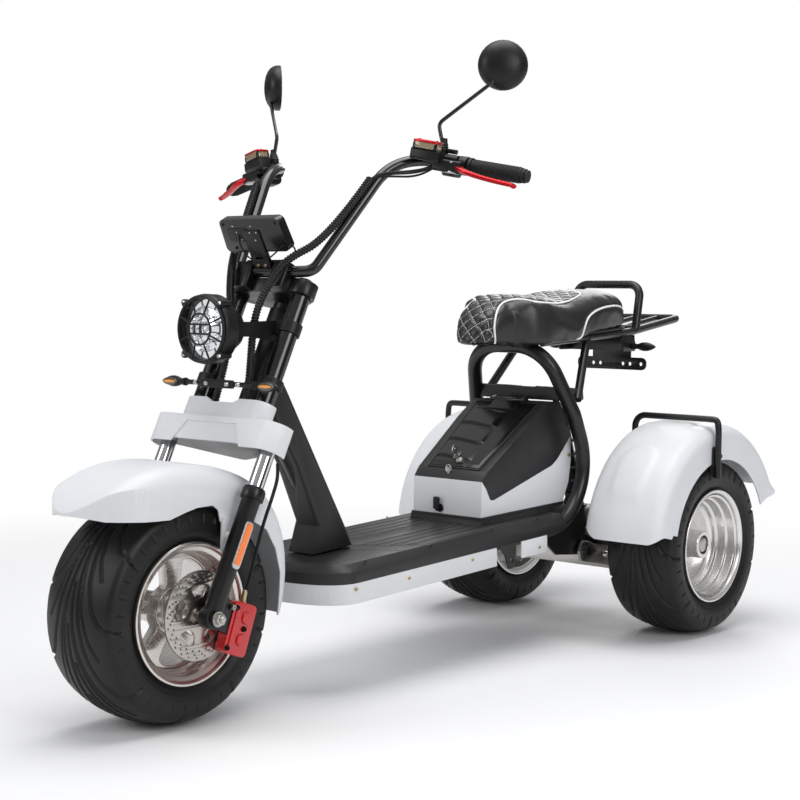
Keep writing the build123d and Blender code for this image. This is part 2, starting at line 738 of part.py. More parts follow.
with BuildPart() as main_frame:
    add(tube(hoop, rail_radius, [150, 60, 100, 100, 60, 150]))
    add(rod(steer, head_radius, head_bottom, head_top))
    add(tube([tuple(neck_join), down_foot], 20))
    for back, radius in ((520, 16), (820, 13), (1060, 13)):
        add(tube([at(-rail_spread, back, rail_z(back)), at(rail_spread, back, rail_z(back))], radius))
    for side in (-1, 1):
        add(tube([at(side * stay_foot[0], *stay_foot[1:]), at(side * stay_head[0], *stay_head[1:])],
                 stay_radius))
        add(tube([(side * x, y, z) for x, y, z in seat_rail], seat_rail_radius))
        add(plate([(1080, 268), (1148, pivot_z), (1262, pivot_z - 12), (1276, 232), (1262, 340),
                   (1225, 330), (1160, 290)], side_plane(side * (rail_spread - 6) - 3), 6, 6))
        add(rod(across(side * (rail_spread - 3), front_y + pivot_y, pivot_z), 9, 0, side * 26))
        for inner in (side * shock_x - 16, side * shock_x + 10, side * stay_gusset - 3):
            add(plate([(1186, 588), (1190, 622), (1262, 616), (1266, 588)], side_plane(inner), 6, 4))
    add(plate([(-138, 588), (138, 588), (134, 620), (-134, 620)], front_plane(1192), 5))
    add(plate([(886, 272), (953, 272), (953, 232), (942, 208), (928, 208), (914, 240)],
              side_plane(rail_spread + rail_radius - 5), 5, 3))
    with Locations(at(0, 1400, 748)):
        Box(200, 24, 10)
    with BuildSketch(side_plane(rail_spread + rail_radius - 15)):
        with Locations(stand_hole):
            Circle(stand_hole_radius)
    extrude(amount=30, mode=Mode.SUBTRACT)
    with BuildSketch(steer.offset(head_bottom)):
        Circle(stem_radius + bearing_clearance)
    extrude(amount=head_top - head_bottom, mode=Mode.SUBTRACT)
write(main_frame, "main_frame")


def column_block(inset):
    """The neck column as if filled, its walls drawn in by an inset."""
    with BuildPart() as block:
        with BuildSketch(side_plane(inset - 36)):
            Polygon((292, 690), (322, 646), (508, 338), (530, 296), (400, 288), (420, 346),
                    (357, 480), (262, 624), align=None)
            if inset:
                offset(amount=-inset, kind=Kind.INTERSECTION)
        extrude(amount=72 - 2 * inset)
        if not inset:
            upright = block.edges().filter_by(lambda e: abs((e @ 0).X - (e @ 1).X) < 1
                                              and (e @ 0.5).Z > 350 and (e @ 0.5).Z < 640)
            fillet(upright, 10)
    return block.part


column_wall = 4.0
with BuildPart() as neck_column:
    add(column_block(0))
    add(column_block(column_wall), mode=Mode.SUBTRACT)
    add(tube([tuple(neck_join), down_foot], 20 + trim_gap), mode=Mode.SUBTRACT)
    add(rod(steer, head_radius + trim_gap, head_bottom - 60, head_top + 60), mode=Mode.SUBTRACT)
write(neck_column, "neck_column")


# ---- footboard, tray and skirts -----------------------------------------------------------
def deck_outline(inset, rear):
    """The plan of the footboard on the deck's plane, its rounded nose drawn in by an inset."""
    edge = deck_edge - inset
    back = rear - deck_ref
    with BuildLine() as outline:
        Spline((edge, -500), (edge - 16, -546), (100, inset - 580), (0, inset - 596),
               (-100, inset - 580), (16 - edge, -546), (-edge, -500),
               tangents=((0, -1), (0, 1)))
        Polyline((-edge, -500), (-edge, back), (edge, back), (edge, -500))
    return outline.line


with BuildPart() as footboard:
    with BuildSketch(deck.offset(-deck_depth)):
        add(deck_outline(0, deck_rear))
        make_face()
    extrude(amount=deck_depth - deck_drop)
    with BuildSketch(deck.offset(-deck_drop)):
        add(deck_outline(0, deck_rear))
        make_face()
    with BuildSketch(deck):
        add(deck_outline(deck_bevel, deck_rear))
        make_face()
    loft()
    with BuildSketch(deck.offset(-deck_depth)):
        add(deck_outline(deck_wall, deck_rear + 50))
        make_face()
    extrude(amount=deck_depth - deck_drop - 1, mode=Mode.SUBTRACT)
    with BuildSketch(deck.offset(-deck_drop - 1)):
        add(deck_outline(deck_wall + deck_bevel - 2, deck_rear + 50))
        make_face()
    extrude(amount=deck_drop + 1 - deck_wall, mode=Mode.SUBTRACT)
    with BuildSketch(deck.offset(-1)):
        Polygon((-108, -3), (108, -3), (124, deck_rear - deck_ref), (-124, deck_rear - deck_ref),
                align=None)
    extrude(amount=plinth_height + 1)
    with BuildSketch(deck):
        with Locations((0, 466 - deck_ref)):
            Rectangle(60, 122)
    extrude(amount=-20, mode=Mode.SUBTRACT)
    add(tube(hoop, rail_radius + trim_gap, [150, 60, 100, 100, 60, 150]), mode=Mode.SUBTRACT)
write(footboard, "footboard")

with BuildPart() as belly_pan:
    with BuildSketch(deck.offset(-pan_depth)):
        add(deck_outline(0, pan_rear))
        make_face()
    extrude(amount=pan_depth - deck_depth)
    with BuildSketch(deck.offset(-pan_depth + skirt_wall)):
        add(deck_outline(skirt_wall, pan_rear + 50))
        make_face()
    extrude(amount=pan_depth, mode=Mode.SUBTRACT)
write(belly_pan, "belly_pan")

skirt_drop = 80.0
with BuildPart() as side_skirts:
    for side in (-1, 1):
        with BuildSketch(deck.offset(-skirt_drop)):
            with Locations((side * (deck_edge - skirt_wall / 2), (skirt_front + skirt_rear) / 2 - deck_ref)):
                Rectangle(skirt_wall, skirt_rear - skirt_front)
        extrude(amount=skirt_drop - deck_depth)
write(side_skirts, "side_skirts")

# ---- battery box --------------------------------------------------------------------------
box_front = 901.0
box_back = 1206.0


def box_floor(back):
    """Height of the box's lower edge, on the plinth."""
    return deck_height + (back - deck_ref) * slope + plinth_height + trim_gap


box_profile = [(box_front, box_floor(box_front)), (box_front + 2, 408), (922, 430), (1146, 586),
               (1206, 584), (1246, 497), (1246, 440), (1232, 384), (box_back + 6, 342),
               (box_back, box_floor(box_back))]


def box_block(inset):
    """The box as if filled, its walls drawn in by an inset."""
    with BuildPart() as block:
        with BuildSketch(side_plane(-140)):
            Polygon(*box_profile, align=None)
            if inset:
                offset(amount=-inset, kind=Kind.INTERSECTION)
        extrude(amount=280)
        with BuildSketch(plan_plane(0)):
            Polygon((-102 + inset, 880), (102 - inset, 880), (124 - inset, 1280),
                    (inset - 124, 1280), align=None)
        extrude(amount=900, mode=Mode.INTERSECT)
        with BuildSketch(front_plane(1300)):
            Polygon((inset - 126, 300), (126 - inset, 300), (110 - inset, 600), (inset - 110, 600),
                    align=None)
        extrude(amount=500, mode=Mode.INTERSECT)
    return block.part


lid_reach = Plane(origin=at(0, 922, 430), x_dir=(1, 0, 0), z_dir=(0, -156, 224))
lid_length = 268.0


def lid_prism(inset, lift, drop):
    """A prism over the box's sloping top, from a lift above it to a drop below."""
    with BuildPart() as prism:
        with BuildSketch(lid_reach.offset(-drop)):
            Polygon((inset - 78, 4 + inset), (78 - inset, 4 + inset), (94 - inset, lid_length - inset),
                    (inset - 94, lid_length - inset), align=None)
        extrude(amount=drop + lift)
    return prism.part


seam = [(903, 409), (918, 392), (934, 364), (946, 362), (1165, 430), (1192, 448), (1246, 497)]
with BuildPart() as box_surround:
    add(box_block(0))
    add(box_block(box_wall), mode=Mode.SUBTRACT)
    with BuildSketch(side_plane(-200)):
        Polygon(*seam, (1300, 520), (1300, 700), (860, 700), (860, 409), align=None)
    extrude(amount=400, mode=Mode.SUBTRACT)
    with BuildSketch(side_plane(-88)):
        Polygon((box_front + 20, 300), (box_back - 30, 300), (box_back - 30, 345),
                (box_front + 20, 330), align=None)
    extrude(amount=176, mode=Mode.SUBTRACT)
write(box_surround, "box_surround")

hinge_lift = 6.5             # lid's hinge pin, above the box's sloping top
hinge_barrel = 5.0
hinge_pin = 2.5
hinge_reach = 52.0
knuckle_width = 12.0
hinge = Plane(origin=lid_reach.from_local_coords(Vector(0, lid_length, hinge_lift)),
              x_dir=lid_reach.y_dir, z_dir=(1, 0, 0))
with BuildPart() as box_cover:
    add(box_block(0))
    add(box_block(box_wall), mode=Mode.SUBTRACT)
    with BuildSketch(side_plane(-200)):
        Polygon(*seam, (1300, 520), (1300, 700), (860, 700), (860, 409), align=None)
    extrude(amount=400, mode=Mode.INTERSECT)
    add(lid_prism(0, 30, 12), mode=Mode.SUBTRACT)
    with BuildSketch(hinge.offset(hinge_reach - knuckle_width)):
        Circle(hinge_barrel)
        Polygon((0, -hinge_barrel), (0, hinge_barrel), (14, 0), (14, -16), (1.5, -12), align=None)
    extrude(amount=knuckle_width)
    with BuildSketch(hinge.offset(-hinge_reach)):
        Circle(hinge_barrel)
        Polygon((0, -hinge_barrel), (0, hinge_barrel), (14, 0), (14, -16), (1.5, -12), align=None)
    extrude(amount=knuckle_width)
    add(rod(hinge, hinge_pin + bearing_clearance, -2 * hinge_reach, 2 * hinge_reach),
        mode=Mode.SUBTRACT)
write(box_cover, "box_cover")

lid_gap = 5.0
lid_swing = 2.5
barrel_half = hinge_reach - knuckle_width - trim_gap
with BuildPart() as box_lid:
    add(lid_prism(lid_gap, lid_swing, lid_drop))
    add(lid_prism(lid_gap + lid_wall, lid_swing - lid_wall, lid_drop + 5), mode=Mode.SUBTRACT)
    with BuildSketch(hinge.offset(-barrel_half)):
        Circle(hinge_barrel)
        Polygon((-34, lid_swing - hinge_lift - 1), (-34, 0.5 - hinge_lift + 4), (0, 1), (0, -4),
                (-8, lid_swing - hinge_lift - 1), align=None)
    extrude(amount=2 * barrel_half)
    add(rod(hinge, hinge_pin, -hinge_reach, hinge_reach))
write(box_lid, "box_lid")

with BuildPart() as battery_pack:
    with BuildSketch(side_plane(-78)):
        Polygon((925, box_floor(925)), (925, 395), (1100, 500), (1170, 500), (1170, box_floor(1170)),
                align=None)
    extrude(amount=156)
write(battery_pack, "battery_pack")

# ---- seat ---------------------------------------------------------------------------------
seat_tail = 1530.0
pan_slope = (754 - 731) / (1545 - 1142)
seat_pan_wall = 6.0


def pan_z(back):
    """Height of the underside of the seat's base, on the seat rails."""
    return 731 + seat_rail_radius + 0.2 + (back - 1142) * pan_slope


def seat_pan_block(inset, depth):
    """The base's plate, or with a depth the pocket that it sits in."""
    pan = Plane(origin=at(0, 1142, pan_z(1142)), x_dir=(1, 0, 0), z_dir=(0, -pan_slope, 1))
    with BuildPart() as block:
        with BuildSketch(pan.offset(-depth)):
            Polygon((inset - 44, -138), (44 - inset, -138), (54 - inset, -62), (102 - inset, -32),
                    (113 - inset, -4), (126 - inset, 60), (126 - inset, 240), (112 - inset, 355),
                    (inset - 112, 355), (inset - 126, 240), (inset - 126, 60), (inset - 113, -4),
                    (inset - 102, -32), (inset - 54, -62), align=None)
        extrude(amount=depth + seat_pan_wall)
    return block.part


seat_plan = [(22, 958), (46, 978), (58, 1002), (66, 1030), (74, 1060), (118, 1094), (138, 1140), (142, 1290), (136, 1400),
             (122, 1490), (96, seat_tail)]
with BuildPart() as seat_cushion:
    with BuildSketch(side_plane(-160)):
        with BuildLine():
            Spline((958, 728), (973, 773), (995, 801), (1034, 826), (1080, 840), (1150, 843), (1240, 834),
                   (1340, 852), (1440, 859), (1510, 842), (seat_tail, 800))
            Polyline((seat_tail, 800), (seat_tail, 768), (1300, 740), (1270, 728), (1130, 716),
                     (958, 722), (958, 728))
        make_face()
    extrude(amount=320)
    with BuildSketch(plan_plane(600)) as plan:
        Polygon(*seat_plan, *[(-x, y) for x, y in reversed(seat_plan)], align=None)
        fillet(plan.vertices(), 14)
    extrude(amount=400, mode=Mode.INTERSECT)
    add(seat_pan_block(0, 40), mode=Mode.SUBTRACT)
write(seat_cushion, "seat_cushion")

with BuildPart() as seat_base:
    add(seat_pan_block(trim_gap, 0))
write(seat_base, "seat_base")

# ---- rack, grab rail, plate and lamps -----------------------------------------------------
rack_z = 754.0
rack_front = 1545.0
rack_end = tail_reach - 10
rack_rise = 34.0
rack_half = 100.0
rack_tube = 10.0


def rack_at(x, back):
    """A point on the rack's sloping plane."""
    return at(x, back, rack_z + (back - rack_front) * rack_rise / (rack_end - rack_front))


with BuildPart() as rear_rack:
    add(tube([rack_at(-rack_half, rack_front + 1.2), rack_at(-rack_half, rack_end),
              rack_at(rack_half, rack_end), rack_at(rack_half, rack_front + 1.2)], rack_tube, [26, 26]))
    add(tube([at(-rack_half, 1562, 758), at(-rack_half, 1584, 877), at(rack_half, 1584, 877),
              at(rack_half, 1562, 758)], 11, [34, 34]))
    add(tube([rack_at(-rack_half, 1600), rack_at(rack_half, 1600)], 8))
    for x in (-34, 34):
        add(tube([rack_at(x, 1600), rack_at(x, rack_end)], 7))
write(rear_rack, "rear_rack")

bracket_wall = 4.0
carrier_y = 1603.0
with BuildPart() as plate_bracket:
    for side in (-1, 1):
        add(plate([(1492, 740.5), (1542, 743.4), (1560, 726), (1560, 702), (1504, 702)],
                  side_plane(side * rack_half - bracket_wall / 2), bracket_wall, 5))
    with Locations(at(0, 1557, 723)):
        Box(2 * rack_half, bracket_wall, 42)
    with Locations(at(0, 1582, 704)):
        Box(120, 50, bracket_wall)
    with BuildSketch(front_plane(carrier_y + 4)):
        with Locations((0, 666.5)):
            RectangleRounded(216, 33, 14)
        with Locations((0, 686)):
            Rectangle(120, 40)
        with Locations(*[(x, 666) for x in (-92, -58, -36, 36, 58, 92)]):
            Circle(5, mode=Mode.SUBTRACT)
    extrude(amount=bracket_wall)
write(plate_bracket, "plate_bracket")

with BuildPart() as rear_lamps:
    add(signal_lamp(across(rack_half + bracket_wall / 2, front_y + 1546, 715), 58))
    mirror(about=Plane.YZ)
    with BuildSketch(front_plane(carrier_y + 28)):
        with Locations((0, 724)):
            RectangleRounded(110, 36, 10)
    extrude(amount=24 - trim_gap)
    with BuildSketch(front_plane(carrier_y + 5)):
        with Locations((0, 730)):
            Rectangle(60, 24)
    extrude(amount=40)
write(rear_lamps, "rear_lamps")

# ---- rear axle, motor, arms and shocks ----------------------------------------------------
beam_y = 1388.0
beam_z = 181.0
beam_depth = 44.0
beam_height = 50.0
end_plate = 172.0
end_wall = 8.0
motor_radius = 72.0
motor_half = 95.0
rear_back = wheel_base
stub_nut = 18.0
stub_end = half_track + rear_hub_outer - 3
shoulder_end = half_track - rear_hub_inner - trim_gap

with BuildPart() as rear_axle:
    with Locations(at(0, beam_y, beam_z)):
        Box(2 * (end_plate + end_wall), beam_depth, beam_height)
    for side in (-1, 1):
        outer = across(side * end_plate, rear_y, tyre_radius)
        add(plate([(beam_y - 22, 156), (beam_y + 40, 156), (rear_back + 20, 190), (rear_back + 34, 224),
                   (rear_back + 10, 258), (rear_back - 30, 250), (beam_y - 22, 206)],
                  side_plane(side * end_plate - (end_wall if side < 0 else 0)), end_wall, 6))
        add(rod(outer, 28, side * (motor_half - end_plate), 0))
        add(rod(outer, 20, 0, side * (shoulder_end - end_plate)))
        add(rod(outer, stub_radius, 0, side * (stub_end - end_plate)))
        add(rod(outer, stub_nut, side * (half_track + rear_hub_outer - hub_recess_depth
                                         + trim_gap - end_plate), side * (stub_end - end_plate)))
write(rear_axle, "rear_axle")

with BuildPart() as drive_motor:
    add(rod(across(0, rear_y, tyre_radius), motor_radius, -motor_half, motor_half))
    fillet(drive_motor.edges().filter_by(GeomType.CIRCLE), 14)
write(drive_motor, "drive_motor")

arm_wall = 8.0
with BuildPart() as swing_arms:
    for side in (-1, 1):
        face = side_plane(side * (rail_spread + 4) - (arm_wall if side < 0 else 0))
        add(plate([(1236, 190), (beam_y - 22, 164), (beam_y - 22, 204), (1268, 236), (1240, 240),
                   (1226, 216)], face, arm_wall, 8))
        add(rod(across(side * (rail_spread + 4), front_y + pivot_y, pivot_z), 9 + trim_gap,
                -side * 2, side * (arm_wall + 2)), mode=Mode.SUBTRACT)
write(swing_arms, "swing_arms")

shock_foot = (beam_y - 4, beam_z + beam_height / 2 + 14)
with BuildPart() as rear_shocks:
    for side in (-1, 1):
        top = Vector(*at(side * shock_x, *shock_top))
        foot = Vector(*at(side * shock_x, *shock_foot))
        spring = Plane(origin=foot, z_dir=top - foot)
        length = (top - foot).length
        add(rod(spring, 8, 0, length))
        add(rod(spring, 22, 34, length - 34))
        add(rod(across(side * shock_x, foot.Y, foot.Z), 13.7, -10, 10))
        add(rod(across(side * shock_x, top.Y, top.Z), 12, -9.7, 9.7))
write(rear_shocks, "rear_shocks")


# ---- rear fenders and their guards --------------------------------------------------------
def fender_band(side, inset):
    """The section of a rear fender as if filled, its outside drawn in by an inset."""
    inner = inset - fender_inner
    outer = fender_outer - inset
    crown = fender_crown - inset
    floor = fender_arch - 20 * (inset > 0)
    start = wheel_section(side * half_track, rear_y, fender_start)
    with BuildPart() as band:
        with BuildSketch(start):
            with BuildLine():
                FilletPolyline((side * outer, floor), (side * outer, crown - 30),
                               (side * (outer - 24), crown - 4), (side * 10, crown + 3),
                               (side * (inner + 14), crown - 6), (side * inner, crown - 24),
                               (side * inner, fender_arch + 50 - 20 * (inset > 0)),
                               radius=[20, 24, 200, 24, 12])
                Polyline((side * inner, fender_arch + 50 - 20 * (inset > 0)),
                         (side * inner, floor), (side * outer, floor))
            make_face()
        revolve(axis=rear_axis, revolution_arc=fender_sweep)
    return band.part


inner_edge = 272.0           # lower edge of the inner skirt, from the axle
for side, name in ((1, "left"), (-1, "right")):
    hub = across(side * half_track, rear_y, tyre_radius)
    with BuildPart() as rear_fender:
        add(fender_band(side, 0))
        add(fender_band(side, fender_wall), mode=Mode.SUBTRACT)
        with BuildSketch(hub.offset(-side * (fender_inner - 5))):
            Circle(inner_edge)
        extrude(amount=-side * 30, mode=Mode.SUBTRACT)
        with Locations((side * (half_track + fender_outer - fender_wall / 2), rear_y,
                        tyre_radius + 211)):
            Box(fender_wall, 86, 52)
    write(rear_fender, f"rear_fender_{name}")

guard_back = rear_back - 53
guard_top = tyre_radius + 322.0
guard_outer = half_track + fender_outer + guard_radius + 7
guard_face = half_track - fender_inner - 0.5
guard_wall = 6.5
guard_inner = guard_face - guard_radius - 0.5
with BuildPart() as fender_guards:
    add(tube([at(guard_outer, guard_back, 402), at(guard_outer, guard_back, guard_top),
              at(guard_inner, guard_back, guard_top), at(guard_inner, guard_back, 300)],
             guard_radius, [30, 30]))
    add(plate([(guard_back - 10, 396), (guard_back + 12, 396), (guard_back + 62, 412),
               (guard_back + 62, 470), (guard_back - 10, 470)],
              side_plane(half_track + fender_outer), 9, 5))
    add(plate([(1318, 240), (1380, 244), (rear_back - 26, 196), (rear_back + 28, 200),
               (rear_back + 30, 250), (guard_back + 18, 460), (guard_back - 16, 460),
               (guard_back - 34, 280), (1318, 264)], side_plane(guard_face - guard_wall), guard_wall, 5))
    add(rod(across(0, rear_y, tyre_radius), 20 + trim_gap, 0, half_track), mode=Mode.SUBTRACT)
    with Locations(at(guard_face / 2 - 1, 1330, 252)):
        Box(guard_face - 2, 18, 18)
    mirror(about=Plane.YZ)
write(fender_guards, "fender_guards")
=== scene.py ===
import json
from contextlib import contextmanager
from math import cos, pi, radians, sin, tau

import bmesh
import bpy
import numpy as np
from mathutils import Matrix, Vector
from mathutils.bvhtree import BVHTree

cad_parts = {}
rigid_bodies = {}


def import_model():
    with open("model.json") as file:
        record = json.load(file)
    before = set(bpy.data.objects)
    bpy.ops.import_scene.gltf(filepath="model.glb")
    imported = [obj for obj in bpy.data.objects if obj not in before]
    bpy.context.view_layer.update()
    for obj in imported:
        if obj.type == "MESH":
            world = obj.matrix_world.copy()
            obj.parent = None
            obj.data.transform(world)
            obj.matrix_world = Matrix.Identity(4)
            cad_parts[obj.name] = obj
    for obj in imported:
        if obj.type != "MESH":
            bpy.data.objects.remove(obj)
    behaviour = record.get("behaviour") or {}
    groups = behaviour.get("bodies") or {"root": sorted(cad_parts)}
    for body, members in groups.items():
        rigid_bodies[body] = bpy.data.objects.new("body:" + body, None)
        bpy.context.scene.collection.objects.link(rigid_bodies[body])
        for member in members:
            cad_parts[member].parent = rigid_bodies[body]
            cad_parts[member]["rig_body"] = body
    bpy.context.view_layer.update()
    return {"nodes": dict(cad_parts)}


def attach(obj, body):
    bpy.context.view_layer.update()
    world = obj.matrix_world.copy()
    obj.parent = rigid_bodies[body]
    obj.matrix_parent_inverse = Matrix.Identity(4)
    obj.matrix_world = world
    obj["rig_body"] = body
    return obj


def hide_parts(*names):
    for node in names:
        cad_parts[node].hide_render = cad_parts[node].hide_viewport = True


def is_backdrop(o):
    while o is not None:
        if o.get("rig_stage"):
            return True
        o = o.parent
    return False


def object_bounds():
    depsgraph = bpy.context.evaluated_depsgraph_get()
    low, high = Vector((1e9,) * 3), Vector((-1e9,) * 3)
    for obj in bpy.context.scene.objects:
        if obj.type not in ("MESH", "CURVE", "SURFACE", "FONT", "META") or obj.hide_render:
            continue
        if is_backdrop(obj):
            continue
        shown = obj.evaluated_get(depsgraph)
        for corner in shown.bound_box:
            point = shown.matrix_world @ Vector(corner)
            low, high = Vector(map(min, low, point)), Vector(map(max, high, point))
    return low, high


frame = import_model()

# ---- Studio -------------------------------------------------------------------------------
# A white sweep on a pale floor, lit by large soft boxes from above, the left and the right.
# Black cards stand off camera, so that chrome and polished alloy have an edge to reflect.
scene = bpy.context.scene


def linear(colour):
    """An sRGB hex colour as Blender's linear one."""
    parts = [int(colour[i:i + 2], 16) / 255 for i in (1, 3, 5)]
    return [c / 12.92 if c <= 0.04045 else ((c + 0.055) / 1.055) ** 2.4 for c in parts] + [1.0]


def add_node(tree, kind, settings=None, inputs=None):
    """Adds a node with its own settings, and a value or another node's socket for each input."""
    node = tree.nodes.new(kind)
    for key, value in (settings or {}).items():
        setattr(node, key, value)
    for key, value in (inputs or {}).items():
        if isinstance(value, bpy.types.NodeSocket):
            tree.links.new(value, node.inputs[key])
        else:
            node.inputs[key].default_value = value
    return node


def placed(name, data):
    """A new object in the scene."""
    thing = bpy.data.objects.new(name, data)
    scene.collection.objects.link(thing)
    return thing


yaw, pitch, roll = radians(40.325), radians(3.693), radians(0.5365)
sight = Vector((-sin(yaw) * cos(pitch), cos(yaw) * cos(pitch), -sin(pitch)))
level = Vector((cos(yaw), sin(yaw), 0))
upright = level.cross(sight)
across = level * cos(roll) + upright * sin(roll)
upward = upright * cos(roll) - level * sin(roll)
camera = placed("camera", bpy.data.cameras.new("camera"))
camera.data.lens = 74.67
camera.data.sensor_width = 36
turn = Matrix((across, upward, -sight)).transposed().to_4x4()
camera.matrix_world = Matrix.Translation((2.45573, -2.94190, 0.84905)) @ turn
scene.camera = camera
scene.view_settings.view_transform = "Standard"

# The camera and clear plastic see white; gloss sees a grey that brightens upwards.
world = bpy.data.worlds.new("studio")
world.use_nodes = True
world.node_tree.nodes.clear()
tree = world.node_tree
rays = add_node(tree, "ShaderNodeLightPath")
seen = add_node(tree, "ShaderNodeMath", {"operation": "ADD", "use_clamp": True},
                {0: rays.outputs["Is Camera Ray"], 1: rays.outputs["Is Transmission Ray"]})
height = add_node(tree, "ShaderNodeSeparateXYZ", None,
                  {0: add_node(tree, "ShaderNodeTexCoord").outputs["Generated"]})
gloss = add_node(tree, "ShaderNodeValToRGB", None, {0: height.outputs[2]})
for stop, position, colour in zip(gloss.color_ramp.elements, (0.0, 0.85), ("#626262", "#ffffff")):
    stop.position, stop.color = position, linear(colour)
mirrored = add_node(tree, "ShaderNodeBackground", None, {"Color": gloss.outputs[0], "Strength": 0.62})
ambient = add_node(tree, "ShaderNodeBackground", None, {"Color": linear("#f7f9ff"), "Strength": 0.42})
white = add_node(tree, "ShaderNodeBackground", None, {"Color": linear("#ffffff"), "Strength": 1.0})
soft = add_node(tree, "ShaderNodeMixShader", None, {0: rays.outputs["Is Glossy Ray"],
                                                    1: ambient.outputs[0], 2: mirrored.outputs[0]})
final = add_node(tree, "ShaderNodeMixShader", None, {0: seen.outputs[0], 1: soft.outputs[0],
                                                     2: white.outputs[0]})
add_node(tree, "ShaderNodeOutputWorld", None, {0: final.outputs[0]})
scene.world = world


def soft_box(name, place, aim, size, power):
    """A square lamp that looks at a point."""
    lamp = placed(name, bpy.data.lights.new(name, "AREA"))
    lamp.data.shape = "SQUARE"
    lamp.data.size = size
    lamp.data.energy = power
    lamp.matrix_world = Matrix.Translation(place) @ (Vector(aim) - Vector(place)).to_track_quat(
        "-Z", "Y").to_matrix().to_4x4()


soft_box("overhead", (0.2, -0.1, 3.6), (0, 0, 0.3), 2.6, 92)
soft_box("front_left", (3.4, -1.0, 2.0), (0, 0.1, 0.5), 1.6, 42)
soft_box("front_right", (-1.6, -3.6, 2.2), (0, -0.2, 0.5), 1.6, 40)
soft_box("behind", (-1.5, 3.2, 2.4), (0, 0.3, 0.6), 1.8, 34)

floor = placed("floor", bpy.data.meshes.new("floor"))
floor.data.from_pydata([(-14, -14, 0), (14, -14, 0), (14, 14, 0), (-14, 14, 0)], [], [(0, 1, 2, 3)])
sweep = bpy.data.materials.new("painted_floor")
sweep.use_nodes = True
sweep.node_tree.nodes.clear()
tree = sweep.node_tree
spot = add_node(tree, "ShaderNodeTexCoord").outputs["Object"]
reach = add_node(tree, "ShaderNodeVectorMath", {"operation": "LENGTH"}, {0: spot})
speck = add_node(tree, "ShaderNodeTexNoise", None, {"Vector": spot, "Scale": 90.0})
rough = add_node(tree, "ShaderNodeMapRange", None, {0: speck.outputs[0], 3: 0.62, 4: 0.74})
paint = add_node(tree, "ShaderNodeBsdfPrincipled", None,
                 {"Base Color": linear("#ececec"), "Roughness": rough.outputs[0]})
glow = add_node(tree, "ShaderNodeEmission", None, {"Color": linear("#ffffff"), "Strength": 1.0})
far = add_node(tree, "ShaderNodeMapRange", {"interpolation_type": "SMOOTHSTEP"},
               {0: reach.outputs["Value"], 1: 1.1, 2: 3.0})
blended = add_node(tree, "ShaderNodeMixShader", None, {0: far.outputs[0], 1: paint.outputs[0],
                                                       2: glow.outputs[0]})
add_node(tree, "ShaderNodeOutputMaterial", None, {0: blended.outputs[0]})
floor.data.materials.append(sweep)
floor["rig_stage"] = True

card_paint = bpy.data.materials.new("black_card")
card_paint.use_nodes = True
card_paint.node_tree.nodes["Principled BSDF"].inputs["Base Color"].default_value = linear("#0b0b0b")
card_foot = 0.1
for name, (x0, y0), (x1, y1), card_top in (("card_left", (3.0, -3.3), (3.5, -2.2), 1.5),
                                           ("card_front", (-0.4, -4.0), (0.9, -4.2), 1.2),
                                           ("card_side", (4.0, 0.6), (3.6, 2.0), 1.3)):
    card = placed(name, bpy.data.meshes.new(name))
    card.data.from_pydata([(x0, y0, card_foot), (x1, y1, card_foot), (x1, y1, card_top), (x0, y0, card_top)],
                          [], [(0, 1, 2, 3)])
    card.data.materials.append(card_paint)
    card.visible_camera = card.visible_shadow = card.visible_diffuse = False
    card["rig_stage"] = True

# ---- Main frame ---------------------------------------------------------------------------
# Bent and welded steel tube, bead-blasted and powder-coated in satin black.
# The coat flows a little over the welds, so edges are round and the gloss is soft.


def finish(name, colour, shade, roughness, grain, depth, pattern="noise", stretch=(1, 1, 1), **sockets):
    """A surface: two tones in broad clouds, and a grain of so many millimetres and microns deep.

    A grain finer than about 1 mm doesn't show, so it is drawn at 1 mm or more.
    """
    surface = bpy.data.materials.new(name)
    surface.use_nodes = True
    tree = surface.node_tree
    shader = tree.nodes["Principled BSDF"]
    place = add_node(tree, "ShaderNodeTexCoord").outputs["Object"]
    drawn = add_node(tree, "ShaderNodeMapping", None, {0: place, 3: stretch}).outputs[0]
    cloud = add_node(tree, "ShaderNodeTexNoise", None, {"Vector": place, "Scale": 14.0, "Detail": 4.0})
    tones = add_node(tree, "ShaderNodeMix", {"data_type": "RGBA"},
                     {0: cloud.outputs[0], 6: linear(colour), 7: linear(shade)})
    tree.links.new(tones.outputs[2], shader.inputs["Base Color"])
    scuffs = add_node(tree, "ShaderNodeMapRange", None, {0: cloud.outputs[0], 1: 0.3, 2: 0.7,
                                                         3: roughness * 0.88, 4: roughness * 1.14})
    tree.links.new(scuffs.outputs[0], shader.inputs["Roughness"])
    if pattern == "cells":
        fine = add_node(tree, "ShaderNodeTexVoronoi", {"feature": "DISTANCE_TO_EDGE"},
                        {"Vector": drawn, "Scale": 1000 / grain})
    else:
        fine = add_node(tree, "ShaderNodeTexNoise", None,
                        {"Vector": drawn, "Scale": 1000 / grain, "Detail": 3.0})
    raised = add_node(tree, "ShaderNodeBump", None, {"Strength": 0.6, "Distance": depth / 1e6,
                                                     "Height": fine.outputs[0]})
    tree.links.new(raised.outputs[0], shader.inputs["Normal"])
    for key, value in sockets.items():
        shader.inputs[key.replace("_", " ")].default_value = value
    return surface


@contextmanager
def opened(mesh):
    """A mesh opened for editing, and written back afterwards."""
    bm = bmesh.new()
    bm.from_mesh(mesh)
    yield bm
    bm.to_mesh(mesh)
    bm.free()


def join_solid(mesh):
    """Merges a mesh's doubled corners and turns its faces outwards."""
    with opened(mesh) as bm:
        bmesh.ops.remove_doubles(bm, verts=bm.verts, dist=2e-6)
        bmesh.ops.dissolve_degenerate(bm, dist=1e-7, edges=bm.edges)
        bmesh.ops.recalc_face_normals(bm, faces=bm.faces)


